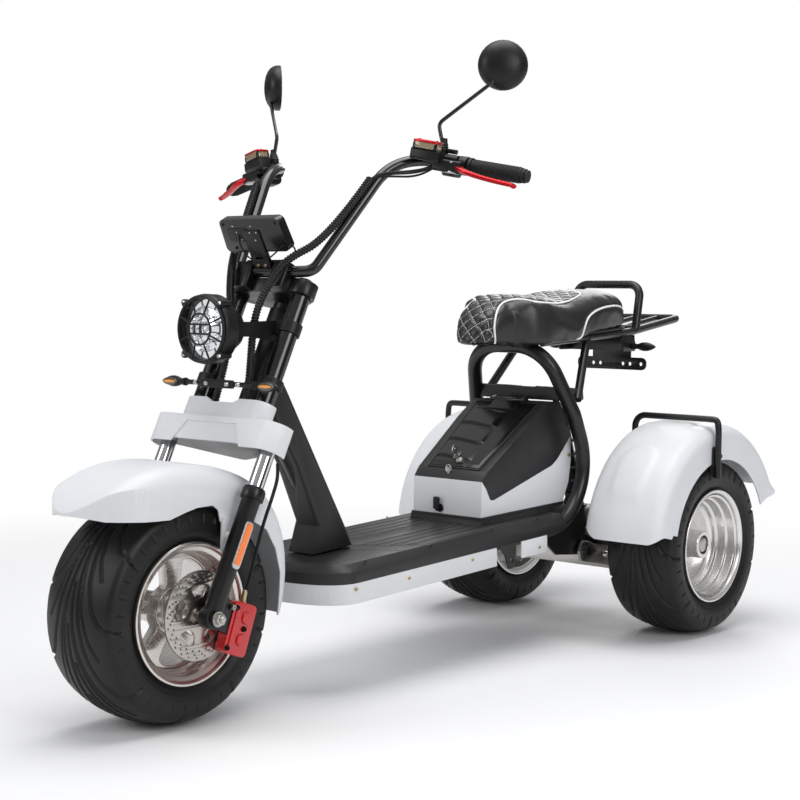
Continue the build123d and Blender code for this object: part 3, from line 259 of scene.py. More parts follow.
def settle(piece, body, surface, replaced=(), angle=32):
    """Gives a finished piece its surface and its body.

    Its shading is smooth, apart from edges where faces meet at more than an angle in degrees.
    """
    piece.data.materials.clear()
    piece.data.materials.append(surface)
    piece.data.polygons.foreach_set("use_smooth", [True] * len(piece.data.polygons))
    piece.data.set_sharp_from_angle(angle=radians(angle))
    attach(piece, body)
    if replaced:
        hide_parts(*replaced)
    return piece


def make(name, corners, faces):
    """A closed mesh piece from its corners and faces."""
    mesh = bpy.data.meshes.new(name)
    mesh.from_pydata([tuple(c) for c in corners], [], faces)
    join_solid(mesh)
    return placed(name, mesh)


def grid_faces(rows, count, rows_close=True, count_close=True):
    """The faces of a grid of corners, which may close on itself either way."""
    return [(i * count + k, i * count + (k + 1) % count, (i + 1) % rows * count + (k + 1) % count,
             (i + 1) % rows * count + k) for i in range(rows - (not rows_close))
            for k in range(count - (not count_close))]


def fixed(piece):
    """Turns a piece's modifiers, or a curve, into a plain mesh."""
    graph = bpy.context.evaluated_depsgraph_get()
    graph.update()
    mesh = bpy.data.meshes.new_from_object(piece.evaluated_get(graph))
    name = piece.name
    bpy.data.objects.remove(piece)
    mesh.name = name
    return placed(name, mesh)


def shell(node, bevel=0.0, angle=32, segments=2):
    """A copy of a CAD node for show: merged, and its edges eased by a bevel in millimetres."""
    mesh = frame["nodes"][node].data.copy()
    for layer in ("custom_normal", "sharp_edge", "sharp_face"):
        if layer in mesh.attributes:
            mesh.attributes.remove(mesh.attributes[layer])
    with opened(mesh) as bm:
        bmesh.ops.remove_doubles(bm, verts=bm.verts, dist=5e-6)
        bmesh.ops.dissolve_degenerate(bm, dist=1e-7, edges=bm.edges)
        if bevel:
            bmesh.ops.dissolve_limit(bm, angle_limit=radians(0.4), verts=bm.verts, edges=bm.edges)
    piece = placed(node + "_shell", mesh)
    if bevel:
        ease = piece.modifiers.new("eased edges", "BEVEL")
        ease.width = bevel / 1000
        ease.segments = segments
        ease.limit_method = "ANGLE"
        ease.angle_limit = radians(angle)
        piece = fixed(piece)
    return piece


def dress(node, surface, bevel=0.0, angle=32, segments=2):
    """Shows a CAD node as its eased copy, on its own body."""
    return settle(shell(node, bevel, angle, segments), frame["nodes"][node]["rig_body"], surface,
                  (node,), angle if not bevel else 40)


# Powder coat melts into a faint orange peel, which gives soft, broad highlights.
powder_coat = finish("satin_powder_coat", "#101011", "#161617", 0.33, 0.9, 60, Specular_IOR_Level=0.4,
                     Coat_Weight=0.15, Coat_Roughness=0.22)
for node, bevel in (("main_frame", 0), ("rear_rack", 0), ("plate_bracket", 0.6), ("drive_motor", 0)):
    dress(node, powder_coat, bevel)

# ---- Tyres --------------------------------------------------------------------------------
# Moulded tubeless tyres of black rubber, nearly as wide as they are high above the rim.
# Long grooves leave the middle of the tread, run round it and hook over the shoulder.
# Rubber from a clean mould: nearly black, with a dull sheen that follows the grooves.
tyre_rubber = finish("moulded_rubber", "#0c0c0c", "#131312", 0.46, 1.4, 110, Specular_IOR_Level=0.36)
front_y = -0.7745                # metres: the front axle, which lengths are measured behind
axle_height = 224                # millimetres, as is every length here: also the tyres' radius
tyre_half = 98
rear_x, rear_back = 299, 1488    # the middle of a rear wheel
crown_radius, crown_angle = 259, 18.93
rim_line, wall_line = 128, 140   # where two fine ridges run round the side wall
tread_repeats = 9
steps_per_repeat = 56
tread_pitch = tau * axle_height / tread_repeats
# Each groove: its points (round the tyre, over the tread), its half width and its depth.
groove_lines = [
    ([(0, 3), (70, 7), (150, 14), (235, 25), (310, 39), (360, 55), (388, 74), (396, 90), (402, 104),
      (404, 122)], 2.7, 4.6),
    ([(46, 5), (120, 14), (200, 29), (262, 46), (300, 64)], 2.2, 3.6),
    ([(10, 108), (10, 121)], 1.6, 2.2)] + [([(u, 110), (u, 121)], 1.6, 2.2) for u in (50, 90, 128)]


def at(x, back, height):
    """A point in metres, from millimetres to the left, behind the front axle and up."""
    return Vector((x / 1000, front_y + back / 1000, height / 1000))


def curve_points(a, b, c, d, count):
    """Points along a Bezier curve, its last one left out."""
    t = np.linspace(0, 1, count, endpoint=False)[:, None]
    a, b, c, d = (np.array(p, float) for p in (a, b, c, d))
    return (1 - t) ** 3 * a + 3 * (1 - t) ** 2 * t * b + 3 * (1 - t) * t * t * c + t ** 3 * d


turned_by = np.linspace(0, radians(crown_angle), 40, endpoint=False)
tread_half = np.vstack([
    np.column_stack([crown_radius * np.sin(turned_by),
                     axle_height - crown_radius * (1 - np.cos(turned_by))]),
    curve_points((84, 210), (95.4, 206.1), (tyre_half, 193), (tyre_half, 177), 18),
    curve_points((tyre_half, 177), (tyre_half, 163), (92, 151), (84, 144), 12), [(84, 144), (84, 128)]])
girth = np.concatenate([[0], np.cumsum(np.hypot(*np.diff(tread_half, axis=0).T))])


def tread_depths(offset):
    """Depth of the grooves over one repeat and half the tyre's width, in millimetres."""
    around = (np.arange(steps_per_repeat) / steps_per_repeat * tread_pitch)[:, None]
    over = girth[None, :]
    depth = np.zeros((steps_per_repeat, len(girth)))
    for line, half_width, deep in groove_lines:
        for (u0, v0), (u1, v1) in zip(line, line[1:]):
            for lap in range(-4, 2):
                du, dv = u1 - u0, v1 - v0
                pu = around - (u0 + offset + lap * tread_pitch)
                pv = over - v0
                t = np.clip((pu * du + pv * dv) / (du * du + dv * dv), 0, 1)
                gap = np.hypot(pu - t * du, pv - t * dv)
                depth = np.maximum(depth, deep * np.clip(1.35 - 0.75 * gap / half_width, 0, 1))
    return depth


def tyre(name, node, x, back, body):
    """One tyre about its axle."""
    left, right = tread_depths(0), tread_depths(tread_pitch / 2)
    ridge = (0.9 * np.exp(-((girth - wall_line) / 1.6) ** 2)
             + 0.7 * np.exp(-((girth - rim_line) / 1.2) ** 2))
    lean = np.gradient(tread_half, girth, axis=0)
    normal = np.column_stack([-lean[:, 1], lean[:, 0]])          # turned outwards below
    normal *= np.sign(normal[:, 1:2] + 1e-9 + 5 * (normal[:, 0:1] > 0.2)) / np.linalg.norm(
        normal, axis=1, keepdims=True)
    normal[-3:] = 0
    corners, count = [], 2 * len(girth) - 1
    steps = tread_repeats * steps_per_repeat
    for i in range(steps):
        angle = tau * i / steps
        sink_left = (ridge - left[i % steps_per_repeat])[:, None] * normal
        sink_right = (ridge - right[i % steps_per_repeat])[:, None] * normal
        section = np.vstack([(tread_half + sink_left)[::-1], (tread_half + sink_right)[1:] * (-1, 1)])
        section[:, 0] = np.clip(section[:, 0], -tyre_half, tyre_half)
        reach = np.minimum(section[:, 1], axle_height)
        corners.append(np.column_stack([x + section[:, 0], reach * cos(angle), reach * sin(angle)]))
    corners = np.vstack(corners) / 1000 + (0, front_y + back / 1000, axle_height / 1000)
    faces = grid_faces(steps, count)
    return settle(make(name, corners, faces), body, tyre_rubber, (node,), 60)


tyre("front_tyre_tread", "front_tyre", 0, 0, "front_wheel")
left_right = ((1, "left"), (-1, "right"))
for side, name in left_right:
    tyre(f"{name}_tyre_tread", f"rear_tyre_{name}", side * rear_x, rear_back, f"rear_wheel_{name}")

# ---- Front wheel --------------------------------------------------------------------------
# A ten-inch alloy casting, turned and polished bright: a stepped barrel, and a web of five
# spokes with rounded windows. The drilled steel disc is bolted to the hub on its left.


def lathe_finish(name, colour, shade, roughness, x, back, ring_width):
    """Metal turned on a lathe about a lateral axis: fine rings in its gloss and its surface.

    Real turning marks are a tenth as wide. They are drawn as coarse as they need to show.
    """
    surface = finish(name, colour, shade, roughness, 30, 20, Metallic=1.0)
    tree = surface.node_tree
    shader = tree.nodes["Principled BSDF"]
    place = add_node(tree, "ShaderNodeTexCoord").outputs["Object"]
    centred = add_node(tree, "ShaderNodeVectorMath", {"operation": "SUBTRACT"},
                       {0: place, 1: at(x, back, axle_height)})
    upright = add_node(tree, "ShaderNodeVectorMath", {"operation": "MULTIPLY"},
                    {0: centred.outputs[0], 1: (0, 1, 1)})
    radius = add_node(tree, "ShaderNodeVectorMath", {"operation": "LENGTH"}, {0: upright.outputs[0]})
    along = add_node(tree, "ShaderNodeSeparateXYZ", None, {0: centred.outputs[0]})
    spread = add_node(tree, "ShaderNodeMath", {"operation": "ADD"},
                      {0: radius.outputs["Value"], 1: along.outputs[0]})
    rings = add_node(tree, "ShaderNodeTexNoise", {"noise_dimensions": "1D"},
                     {"W": spread.outputs[0], "Scale": 1000 / ring_width, "Detail": 2.0})
    marks = add_node(tree, "ShaderNodeMapRange", None, {0: rings.outputs[0], 1: 0.3, 2: 0.7,
                                                        3: roughness * 0.7, 4: roughness * 1.4})
    tree.links.new(marks.outputs[0], shader.inputs["Roughness"])
    raised = add_node(tree, "ShaderNodeBump", None, {"Strength": 0.35, "Distance": 0.00004,
                                                     "Height": rings.outputs[0]})
    tree.links.new(raised.outputs[0], shader.inputs["Normal"])
    return surface


def turned(name, profile, x, back, height, segments):
    """A solid turned about a lateral axis: closed (along +X, radius) points in millimetres."""
    corners = []
    for i in range(segments):
        angle = tau * i / segments
        corners += [at(x + along, back + r * cos(angle), height + r * sin(angle)) for along, r in profile]
    return make(name, corners, grid_faces(segments, len(profile)))


def eased(profile, radius, steps=3):
    """A closed profile with its corners rounded."""
    points = []
    for before, corner, after in zip([profile[-1], *profile], profile, [*profile[1:], profile[0]]):
        before, corner, after = Vector(before), Vector(corner), Vector(after)
        into, out = before - corner, after - corner
        cut = min(radius, into.length * 0.4, out.length * 0.4)
        start, end = corner + into.normalized() * cut, corner + out.normalized() * cut
        for i in range(steps + 1):
            t = i / steps
            points.append(tuple((1 - t) ** 2 * start + 2 * t * (1 - t) * corner + t * t * end))
    return points


def ring(cx, cy, radius, count=48):
    """A circle's points."""
    return [(cx + radius * cos(tau * i / count), cy + radius * sin(tau * i / count)) for i in range(count)]


def cut_plate(name, loops, thickness, bevel, origin, x_axis, y_axis, steps=2):
    """A flat plate with holes, its edges eased, its middle on the plane of two axes at a point."""
    outline = bpy.data.curves.new(name, "CURVE")
    outline.dimensions = "2D"
    outline.fill_mode = "BOTH"
    outline.extrude = max(thickness / 2 - bevel, 0.01)
    outline.bevel_depth = bevel
    outline.bevel_resolution = steps
    outline.offset = -bevel
    for loop in loops:
        spline = outline.splines.new("POLY")
        spline.points.add(len(loop) - 1)
        spline.points.foreach_set("co", [c for x, y in loop for c in (x, y, 0, 1)])
        spline.use_cyclic_u = True
    piece = fixed(placed(name, outline))
    x_axis, y_axis = Vector(x_axis).normalized(), Vector(y_axis).normalized()
    turn = Matrix((x_axis, y_axis, x_axis.cross(y_axis))).transposed().to_4x4()
    piece.data.transform(Matrix.Translation(origin) @ turn @ Matrix.Scale(0.001, 4))
    join_solid(piece.data)
    return piece


barrel_outer = [(-92, 141), (-84, 141), (-84, 127), (84, 127), (84, 141), (92, 141)]
# Polished on a lathe: bright, with highlights drawn out across the rings.
polished_front = lathe_finish("polished_cast_alloy", "#dedad6", "#cdc7c2", 0.24, 0, 0, 1.6)
barrel = turned("front_barrel", eased(barrel_outer + [
    (92, 136), (87, 131), (84, 122), (68, 121), (66, 118), (50, 117), (48, 114), (8, 113), (4, 117),
    (-60, 118), (-62, 121), (-84, 122), (-87, 131), (-92, 136)], 1.2), 0, 0, axle_height, 160)
settle(barrel, "front_wheel", polished_front, ("front_rim",), 25)


def window(middle, inner, outer, inner_half, outer_half, count=40):
    """A rounded window between spokes, about an angle in degrees."""
    points = []
    for i in range(count):
        a, b = cos(tau * i / count), sin(tau * i / count)
        radius = (inner + outer) / 2 + (outer - inner) / 2 * np.sign(b) * abs(b) ** 0.55
        share = (radius - inner) / (outer - inner)
        half = inner_half + (outer_half - inner_half) * share
        angle = radians(middle + half * np.sign(a) * abs(a) ** 0.6)
        points.append((radius * cos(angle), radius * sin(angle)))
    return points


web = cut_plate("front_spokes", [ring(0, 0, 115, 96)]
                + [window(90 + 36 + 72 * i, 47, 107, 17, 24.5) for i in range(5)],
                25, 3.2, at(28, 0, axle_height), (0, 1, 0), (0, 0, 1), 3)
settle(web, "front_wheel", polished_front, (), 30)
hub = turned("front_hub", eased([(-84, 0), (-84, 26), (-60, 30), (10, 32), (14, 50), (44, 48), (48, 36),
                                 (72, 34), (76, 40), (109.8, 40), (109.8, 0)], 1.5), 0, 0, axle_height, 72)
settle(hub, "front_wheel", polished_front, (), 30)
# Ground in rings, so that its gloss fans out from the middle.
brushed_steel = lathe_finish("ground_stainless_steel", "#c4bfb9", "#aaa49e", 0.27, 0, 0, 1.0)
drillings = [hole for row, (reach, turn) in enumerate(((69, 0), (75.5, 5), (82, 10)))
             for hole in [ring(reach * cos(radians(turn + 15 * i)), reach * sin(radians(turn + 15 * i)),
                               2.1, 10) for i in range(24)]]
disc = cut_plate("front_brake_disc", [ring(0, 0, 88, 120), ring(0, 0, 16, 32)] + drillings
                 + [window(18 + 72 * i, 34, 60, 16, 25, 24) for i in range(5)],
                 3.9, 0.3, at(112, 0, axle_height), (0, 1, 0), (0, 0, 1), 1)
settle(disc, "front_wheel", brushed_steel, ("front_disc",), 30)

# ---- Rear wheels --------------------------------------------------------------------------
# Deep alloy dishes, spun and polished bright, with a raised hub that holds a dark steel nut.
# Each turns on a stub axle at the end of the rear beam.
# Blacked steel keeps a little metal in its gloss.
black_steel = finish("blacked_steel", "#101010", "#1a1a1a", 0.35, 1.0, 40, Metallic=0.7)
for side, name in left_right:
    # Spun on a lathe: fine rings spread the highlights round the dish.
    polished = lathe_finish(f"spun_alloy_{name}", "#e6e5e3", "#d6d4d2", 0.25, side * rear_x, rear_back, 1.8)
    dish = [(side * a, r) for a, r in eased(barrel_outer + [
        (92, 136), (88, 131.5), (83, 129), (80, 122), (60, 121), (57, 115), (36, 113), (33, 106), (24, 104),
        (17, 96), (15, 60), (18, 37), (24, 35), (61, 34.5), (61, 23.5), (49, 23), (49, 14.1), (-30, 14.1),
        (-30, 34), (0, 38), (2, 98), (-24, 108), (-60, 118), (-84, 122), (-87, 131), (-92, 136)], 1.4)]
    settle(turned(f"rear_dish_{name}", dish, side * rear_x, rear_back, axle_height, 160),
           f"rear_wheel_{name}", polished, (f"rear_rim_{name}",), 25)
    cap = turned(f"hub_shield_{name}", eased([(side * 49.2, 14.4), (side * 53, 14.4), (side * 53, 22.8),
                                              (side * 49.2, 22.8)], 0.6),
                 side * rear_x, rear_back, axle_height, 48)
    settle(cap, f"rear_wheel_{name}", black_steel)

# ---- Rear axle ----------------------------------------------------------------------------
# A bright welded beam between the arms, with end plates, stub axles and black steel shocks
# in coil springs. The hub motor is a powder-coated drum in the middle.
# Zinc plate: pale grey, with a satin gloss.
bright_steel = finish("zinc_plated_steel", "#c9c7c3", "#aeaaa4", 0.30, 3.0, 40, Metallic=1.0)
dress("rear_axle", bright_steel, 0.8)
dress("swing_arms", bright_steel, 0.8)
dress("rear_shocks", black_steel)


def route(name, points, radius=0.0, nurbs=True, sides=6, closed=False, fineness=10):
    """A curve along points in metres, round if it has a radius in millimetres."""
    line = bpy.data.curves.new(name, "CURVE")
    line.dimensions = "3D"
    line.bevel_depth, line.bevel_resolution, line.use_fill_caps = radius / 1000, sides, True
    spline = line.splines.new("NURBS" if nurbs else "POLY")
    spline.points.add(len(points) - 1)
    for place, point in zip(spline.points, points):
        place.co = (*point, 1)
    if nurbs:
        spline.order_u, spline.resolution_u, spline.use_endpoint_u = 3, fineness, not closed
    spline.use_cyclic_u = closed
    return placed(name, line)


def bar(name, points, radius, body, surface, nurbs=True, sides=6, closed=False):
    """A round bar, wire or hose along points, as a mesh on its body."""
    piece = fixed(route(name, points, radius, nurbs, sides, closed))
    join_solid(piece.data)
    return settle(piece, body, surface, (), 40)


shock_x = 62
coil_turns, coil_steps = 8, 24
coil_start, coil_length, coil_radius = 0.045, 0.29, 0.024     # metres
for side, name in left_right:
    top, foot = at(side * shock_x, 1252, 600), at(side * shock_x, 1384, 220)
    lean = (foot - top).normalized()
    right = lean.cross(Vector((1, 0, 0))).normalized()
    coil = []
    for i in range(coil_turns * coil_steps):
        turn, share = tau * i / coil_steps, i / (coil_turns * coil_steps)
        coil.append(top + lean * (coil_start + coil_length * share)
                    + (right * cos(turn) + Vector((1, 0, 0)) * sin(turn)) * coil_radius)
    bar(f"shock_spring_{name}", coil, 4.5, "frame", powder_coat, False, 3)

# ---- Fork ---------------------------------------------------------------------------------
# Black cast legs on hard-chromed stanchions, held by two cast clamps on the upper tubes.
# The axle passes through the legs' feet, with a plated nut and washer on each end.
# Enamel on a casting: deep black, and slightly uneven.
cast_black = finish("black_enamelled_casting", "#0d0d0e", "#131314", 0.34, 2.2, 45, Specular_IOR_Level=0.38)
# Glossy enamel on drawn tube: narrow, sharp highlights along its length.
black_tube = finish("gloss_black_steel", "#0a0a0b", "#0f0f10", 0.2, 4.0, 12, Coat_Weight=0.25,
                    Coat_Roughness=0.08)
# Hard chrome mirrors the studio almost cleanly.
chrome = finish("hard_chromed_steel", "#d5d5d6", "#c6c6c8", 0.07, 6.0, 4, Metallic=1.0)


def local(origin, x_axis, z_axis):
    """The frame of a tilted plane, from millimetres on it to metres in the part."""
    x_axis, z_axis = Vector(x_axis).normalized(), Vector(z_axis).normalized()
    turn = Matrix((x_axis, z_axis.cross(x_axis), z_axis)).transposed().to_4x4()
    return Matrix.Translation(origin) @ turn @ Matrix.Scale(0.001, 4)


def spun(name, profile, place, segments=48):
    """A solid turned about a frame's axis: closed (along, radius) points in millimetres."""
    corners = []
    for i in range(segments):
        angle = tau * i / segments
        corners += [place @ Vector((r * cos(angle), r * sin(angle), along)) for along, r in profile]
    return make(name, corners, grid_faces(segments, len(profile)))


def flat(name, place, loops, low, high, bevel=0.5, steps=2):
    """A plate on a frame, between two heights above its plane."""
    origin = place @ Vector((0, 0, (low + high) / 2))
    return cut_plate(name, loops, high - low, bevel, origin, place.col[0].xyz, place.col[1].xyz, steps)


def rounded(cx, cy, width, height, radius, steps=5):
    """A rectangle's points with round corners."""
    points = []
    for sx, sy, start in ((1, 1, 0), (-1, 1, 90), (-1, -1, 180), (1, -1, 270)):
        for i in range(steps + 1):
            angle = radians(start + 90 * i / steps)
            points.append((cx + sx * (width / 2 - radius) + radius * cos(angle),
                           cy + sy * (height / 2 - radius) + radius * sin(angle)))
    return points


def twin(piece):
    """Adds a piece's mirror image across the middle to its own mesh."""
    with opened(piece.data) as bm:
        extra = bmesh.ops.duplicate(bm, geom=bm.verts[:] + bm.edges[:] + bm.faces[:])["geom"]
        for vert in extra:
            if isinstance(vert, bmesh.types.BMVert):
                vert.co.x = -vert.co.x
        bmesh.ops.reverse_faces(bm, faces=[f for f in extra if isinstance(f, bmesh.types.BMFace)])
    return piece


def joined(name, pieces):
    """Several meshes as one."""
    bm = bmesh.new()
    for piece in pieces:
        bm.from_mesh(piece.data)
        bpy.data.objects.remove(piece)
    mesh = bpy.data.meshes.new(name)
    bm.to_mesh(mesh)
    bm.free()
    return placed(name, mesh)


def new_tree(name, sizes):
    """A node tree that takes a shape, named sizes and a finish."""
    tree = bpy.data.node_groups.new(name, "GeometryNodeTree")
    for label, way, kind in (("Geometry", "INPUT", "Geometry"), *((size, "INPUT", "Float") for size in sizes),
                             ("Finish", "INPUT", "Material"), ("Geometry", "OUTPUT", "Geometry")):
        tree.interface.new_socket(label, in_out=way, socket_type="NodeSocket" + kind)
    return tree, add_node(tree, "NodeGroupInput").outputs


def on_points(tree, given, instance):
    """A shape on every point, turned to the point's own direction."""
    facing = add_node(tree, "GeometryNodeInputNamedAttribute", {"data_type": "FLOAT_VECTOR"},
                      {"Name": "facing"})
    turn = add_node(tree, "FunctionNodeAlignRotationToVector", {"axis": "Z"},
                    {"Vector": facing.outputs["Attribute"]})
    return add_node(tree, "GeometryNodeInstanceOnPoints", None, {
        "Points": given["Geometry"], "Instance": instance, "Rotation": turn.outputs[0]})


def close_tree(tree, given, last):
    """Makes a tree's instances real and gives them the finish."""
    real = add_node(tree, "GeometryNodeRealizeInstances", None, {0: last.outputs[0]})
    painted = add_node(tree, "GeometryNodeSetMaterial", None, {
        "Geometry": real.outputs[0], "Material": given["Finish"]})
    add_node(tree, "NodeGroupOutput", None, {"Geometry": painted.outputs[0]})
    return tree


def screw_tree():
    """Socket screws: a tapered head with a hexagon cut into it."""
    tree, given = new_tree("socket_screws", ("Head radius", "Head height", "Socket radius"))
    top = add_node(tree, "ShaderNodeMath", {"operation": "MULTIPLY"}, {0: given["Head radius"], 1: 0.74})
    head = add_node(tree, "GeometryNodeMeshCone", None, {
        "Vertices": 20, "Radius Top": top.outputs[0], "Radius Bottom": given["Head radius"],
        "Depth": given["Head height"]})
    hexagon = add_node(tree, "GeometryNodeMeshCylinder", None, {
        "Vertices": 6, "Radius": given["Socket radius"], "Depth": given["Head height"]})
    lift = add_node(tree, "ShaderNodeCombineXYZ", None, {2: given["Head height"]})
    raised = add_node(tree, "GeometryNodeTransform", None, {
        "Geometry": hexagon.outputs["Mesh"], "Translation": lift.outputs[0]})
    hollow = add_node(tree, "GeometryNodeMeshBoolean", {"operation": "DIFFERENCE"}, {
        "Mesh 1": head.outputs["Mesh"], "Mesh 2": raised.outputs["Geometry"]})
    return close_tree(tree, given, on_points(tree, given, hollow.outputs["Mesh"]))


def grown(piece, tree, values):
    """Runs a node tree on a piece, its inputs set by name, and leaves a plain mesh."""
    modifier = piece.modifiers.new(tree.name, "NODES")
    modifier.node_group = tree
    for socket in tree.interface.items_tree:
        if socket.item_type == "SOCKET" and socket.in_out == "INPUT" and socket.name in values:
            modifier[socket.identifier] = values[socket.name]
    return fixed(piece)


def seeded(name, places, ways):
    """Loose points with a direction each, for a tree to set things on."""
    mesh = bpy.data.meshes.new(name)
    mesh.from_pydata([tuple(p) for p in places], [], [])
    facing = mesh.attributes.new("facing", "FLOAT_VECTOR", "POINT")
    facing.data.foreach_set("vector", [c for way in ways for c in Vector(way).normalized()])
    return placed(name, mesh)


screw_heads = screw_tree()
socket_share = 0.52              # a socket's radius, as a share of the head's


def screws(name, body, surface, radius, height, places):
    """Socket screws of one size on one body: (place, direction) pairs."""
    piece = grown(seeded(name, *zip(*places)), screw_heads, {
        "Head radius": radius / 1000, "Head height": height / 1000, "Socket radius": radius * socket_share / 1000,
        "Finish": surface})
    return settle(piece, body, surface, (), 25)


leg_x, rake = 145, 26.2          # half the legs' spacing, and the fork's lean from upright
fork = local(at(0, 0, axle_height), (1, 0, 0), (0, sin(radians(rake)), cos(radians(rake))))
dress("fork_legs", cast_black, 0.8)
dress("stanchions", chrome)
dress("fork_upper_tubes", black_tube)
dress("fork_clamps", cast_black, 1.2)
dress("front_axle", bright_steel, 0.5)
seals = [spun(f"fork_seal_{side}", [(244, 16.2), (244, 21.5), (262, 22.5), (267, 21), (269, 17.4),
                                    (269, 16.2)], fork @ Matrix.Translation((side * leg_x, 0, 0)), 40)
         for side in (-1, 1)]
# Soft rubber: black, with hardly any gloss.
moulded_rubber = finish("soft_black_rubber", "#0d0d0d", "#131313", 0.55, 1.6, 60, Specular_IOR_Level=0.3)
settle(joined("fork_seals", seals), "steering", moulded_rubber)
nuts = []
lateral = local(at(0, 0, axle_height), (0, 1, 0), (1, 0, 0))
for side in (-1, 1):
    end = lateral @ Matrix.Translation((0, 0, side * 168)) @ Matrix.Rotation(pi * (side < 0), 4, "X")
    nuts += [spun("axle_washer", eased([(-2.5, 0), (-2.5, 15), (-0.2, 15), (-0.2, 0)], 0.4), end, 32),
             flat("axle_nut", end, [ring(0, 0, 12.2, 6)], -0.2, 8.5, 0.8),
             spun("axle_end", eased([(0, 0), (0, 6.8), (12, 6.8), (14, 5.4), (14, 0)], 0.6), end, 24)]
settle(joined("axle_nuts", nuts), "steering", bright_steel, (), 30)

# ---- Reflectors ---------------------------------------------------------------------------
# An orange prismatic strip in a silvered holder, glued to the outside of each fork leg.
# The prisms are moulded into the acrylic's back, and the front is flat and glossy.
# Silvered plastic is greyer and softer than metal.
silver_plastic = finish("silvered_abs", "#c9c9c8", "#b9b9b8", 0.28, 2.0, 20, Metallic=0.6)
# Prisms behind clear acrylic give a faceted gloss; a faint orange glow is painted in, so that the strip looks
# brightly lit.
orange_prisms_painted_glow = finish("orange_prismatic_acrylic_painted_glow", "#e8741a", "#d9611a", 0.22, 2.4, 500, "cells",
                       Coat_Weight=0.9, Coat_Roughness=0.05, Emission_Strength=0.12,
                       Emission_Color=linear("#e8741a"))
holders, strips = [], []
for side in (1, -1):
    outside = local(fork @ Vector((side * leg_x, 0, 0)), (0, side * 0.897, -side * 0.441), (side, 0, 0))
    holders.append(flat("holder", outside, [rounded(0, 150, 21, 96, 8)], 17.5, 20.6, 0.7))
    strips.append(flat("strip", outside, [rounded(0, 152, 15.5, 84, 3)], 19.5, 21.8, 0.5))
settle(joined("reflector_holders", holders), "steering", silver_plastic, (), 30)
settle(joined("reflector_strips", strips), "steering", orange_prisms_painted_glow, (), 30)

# ---- Clamp cover and front fender ---------------------------------------------------------
# Injection-moulded ABS, lacquered white: edges have a small round and the gloss is even.
# The cover is screwed over the lower clamp, and the fender is held between the fork legs.
# White lacquer with a low satin gloss: shading shows, and highlights are wide.
white_lacquer = finish("white_lacquered_abs", "#d6d8da", "#cfd1d3", 0.42, 1.6, 10, Specular_IOR_Level=0.4)
dress("clamp_cover", white_lacquer, 2.2, 40, 3)
dress("front_fender", white_lacquer, 1.2, 45)

# ---- Front brake --------------------------------------------------------------------------
# A two-piece caliper, cast and lacquered red, its halves held by black socket screws, and a
# rubber hose with a brass end that runs up beside the leg.
# Clear coat over red on a casting: saturated, with small bright highlights.
red_lacquer = finish("red_lacquered_casting", "#c5161b", "#b01217", 0.26, 2.4, 60, Coat_Weight=0.5,
                     Coat_Roughness=0.1)
# Plated brass: pale yellow and satin.
brass = finish("plated_brass", "#c4b48c", "#b2a27c", 0.28, 3.0, 30, Metallic=1.0)
hang = radians(-20.6)            # the caliper hangs this far below level, behind the axle
hanger = local(at(0, 0, axle_height), (0, cos(hang), sin(hang)), (1, 0, 0))
dress("brake_caliper", red_lacquer, 2.4, 30, 3)
boss = hanger @ Matrix.Translation((88, -4, 0))
bosses = [spun("boss", eased([(140, 0), (140, 13), (147, 12), (147, 0)], 1.5),
               boss @ Matrix.Translation((8, y, 0)), 40) for y in (24, -20)]
rib = flat("caliper_rib", boss, [rounded(-20, 0, 8, 78, 3)], 141, 146, 1.6)
settle(joined("caliper_bosses", bosses + [rib]), "steering", red_lacquer, (), 35)
facing = Vector((1, 0, 0))
screws("caliper_bolts", "steering", black_steel, 6.0, 5.0,
       [(boss @ Vector(p), facing) for p in ((-24, 38, 143), (-24, -42, 143), (8, 2, 143))])
screws("caliper_mounts", "steering", bright_steel, 6.5, 5.5,
       [(at(143, 30, 262), facing), (at(143, 60, 236), facing)])
dress("brake_hose", moulded_rubber)
hose_end = local(hanger @ Vector((88, 48.5, 131)), (0, 0.94, -0.35), (0.1, 0.16, 0.98))
settle(joined("hose_fittings", [
    spun("banjo", eased([(-4, 0), (-4, 7), (4, 7), (4, 0)], 0.8), hose_end, 24),
    spun("ferrule", eased([(4, 3.6), (4, 5.4), (22, 5.4), (25, 4.4), (25, 3.6)], 0.6), hose_end, 24),
]), "steering", brass, (), 30)

# ---- Handlebar and controls ---------------------------------------------------------------
# Bent steel bar, moulded rubber grips, plastic switches, and for each brake a cast lever
# with a clear fluid pot under a red cap.
# Rubber with a fine moulded texture that kills the gloss.
grip_rubber = finish("ribbed_grip_rubber", "#101010", "#171717", 0.6, 1.8, 300, "cells",
                     Specular_IOR_Level=0.35)
# Plain moulded ABS: black, with a fine grain and a satin gloss.
moulded_black = finish("moulded_black_abs", "#0e0e0e", "#151516", 0.4, 1.3, 90, Specular_IOR_Level=0.3)
# Anodising dyes the metal itself, so its gloss is red as well.
red_anodised = finish("red_anodised_aluminium", "#c81c22", "#a9151b", 0.25, 2.0, 30, Metallic=0.75)
# Bare cast aluminium: grey, with a frosted gloss.
silver_cast = finish("silver_cast_aluminium", "#b9b9b8", "#a3a3a2", 0.34, 2.0, 60, Metallic=0.9)
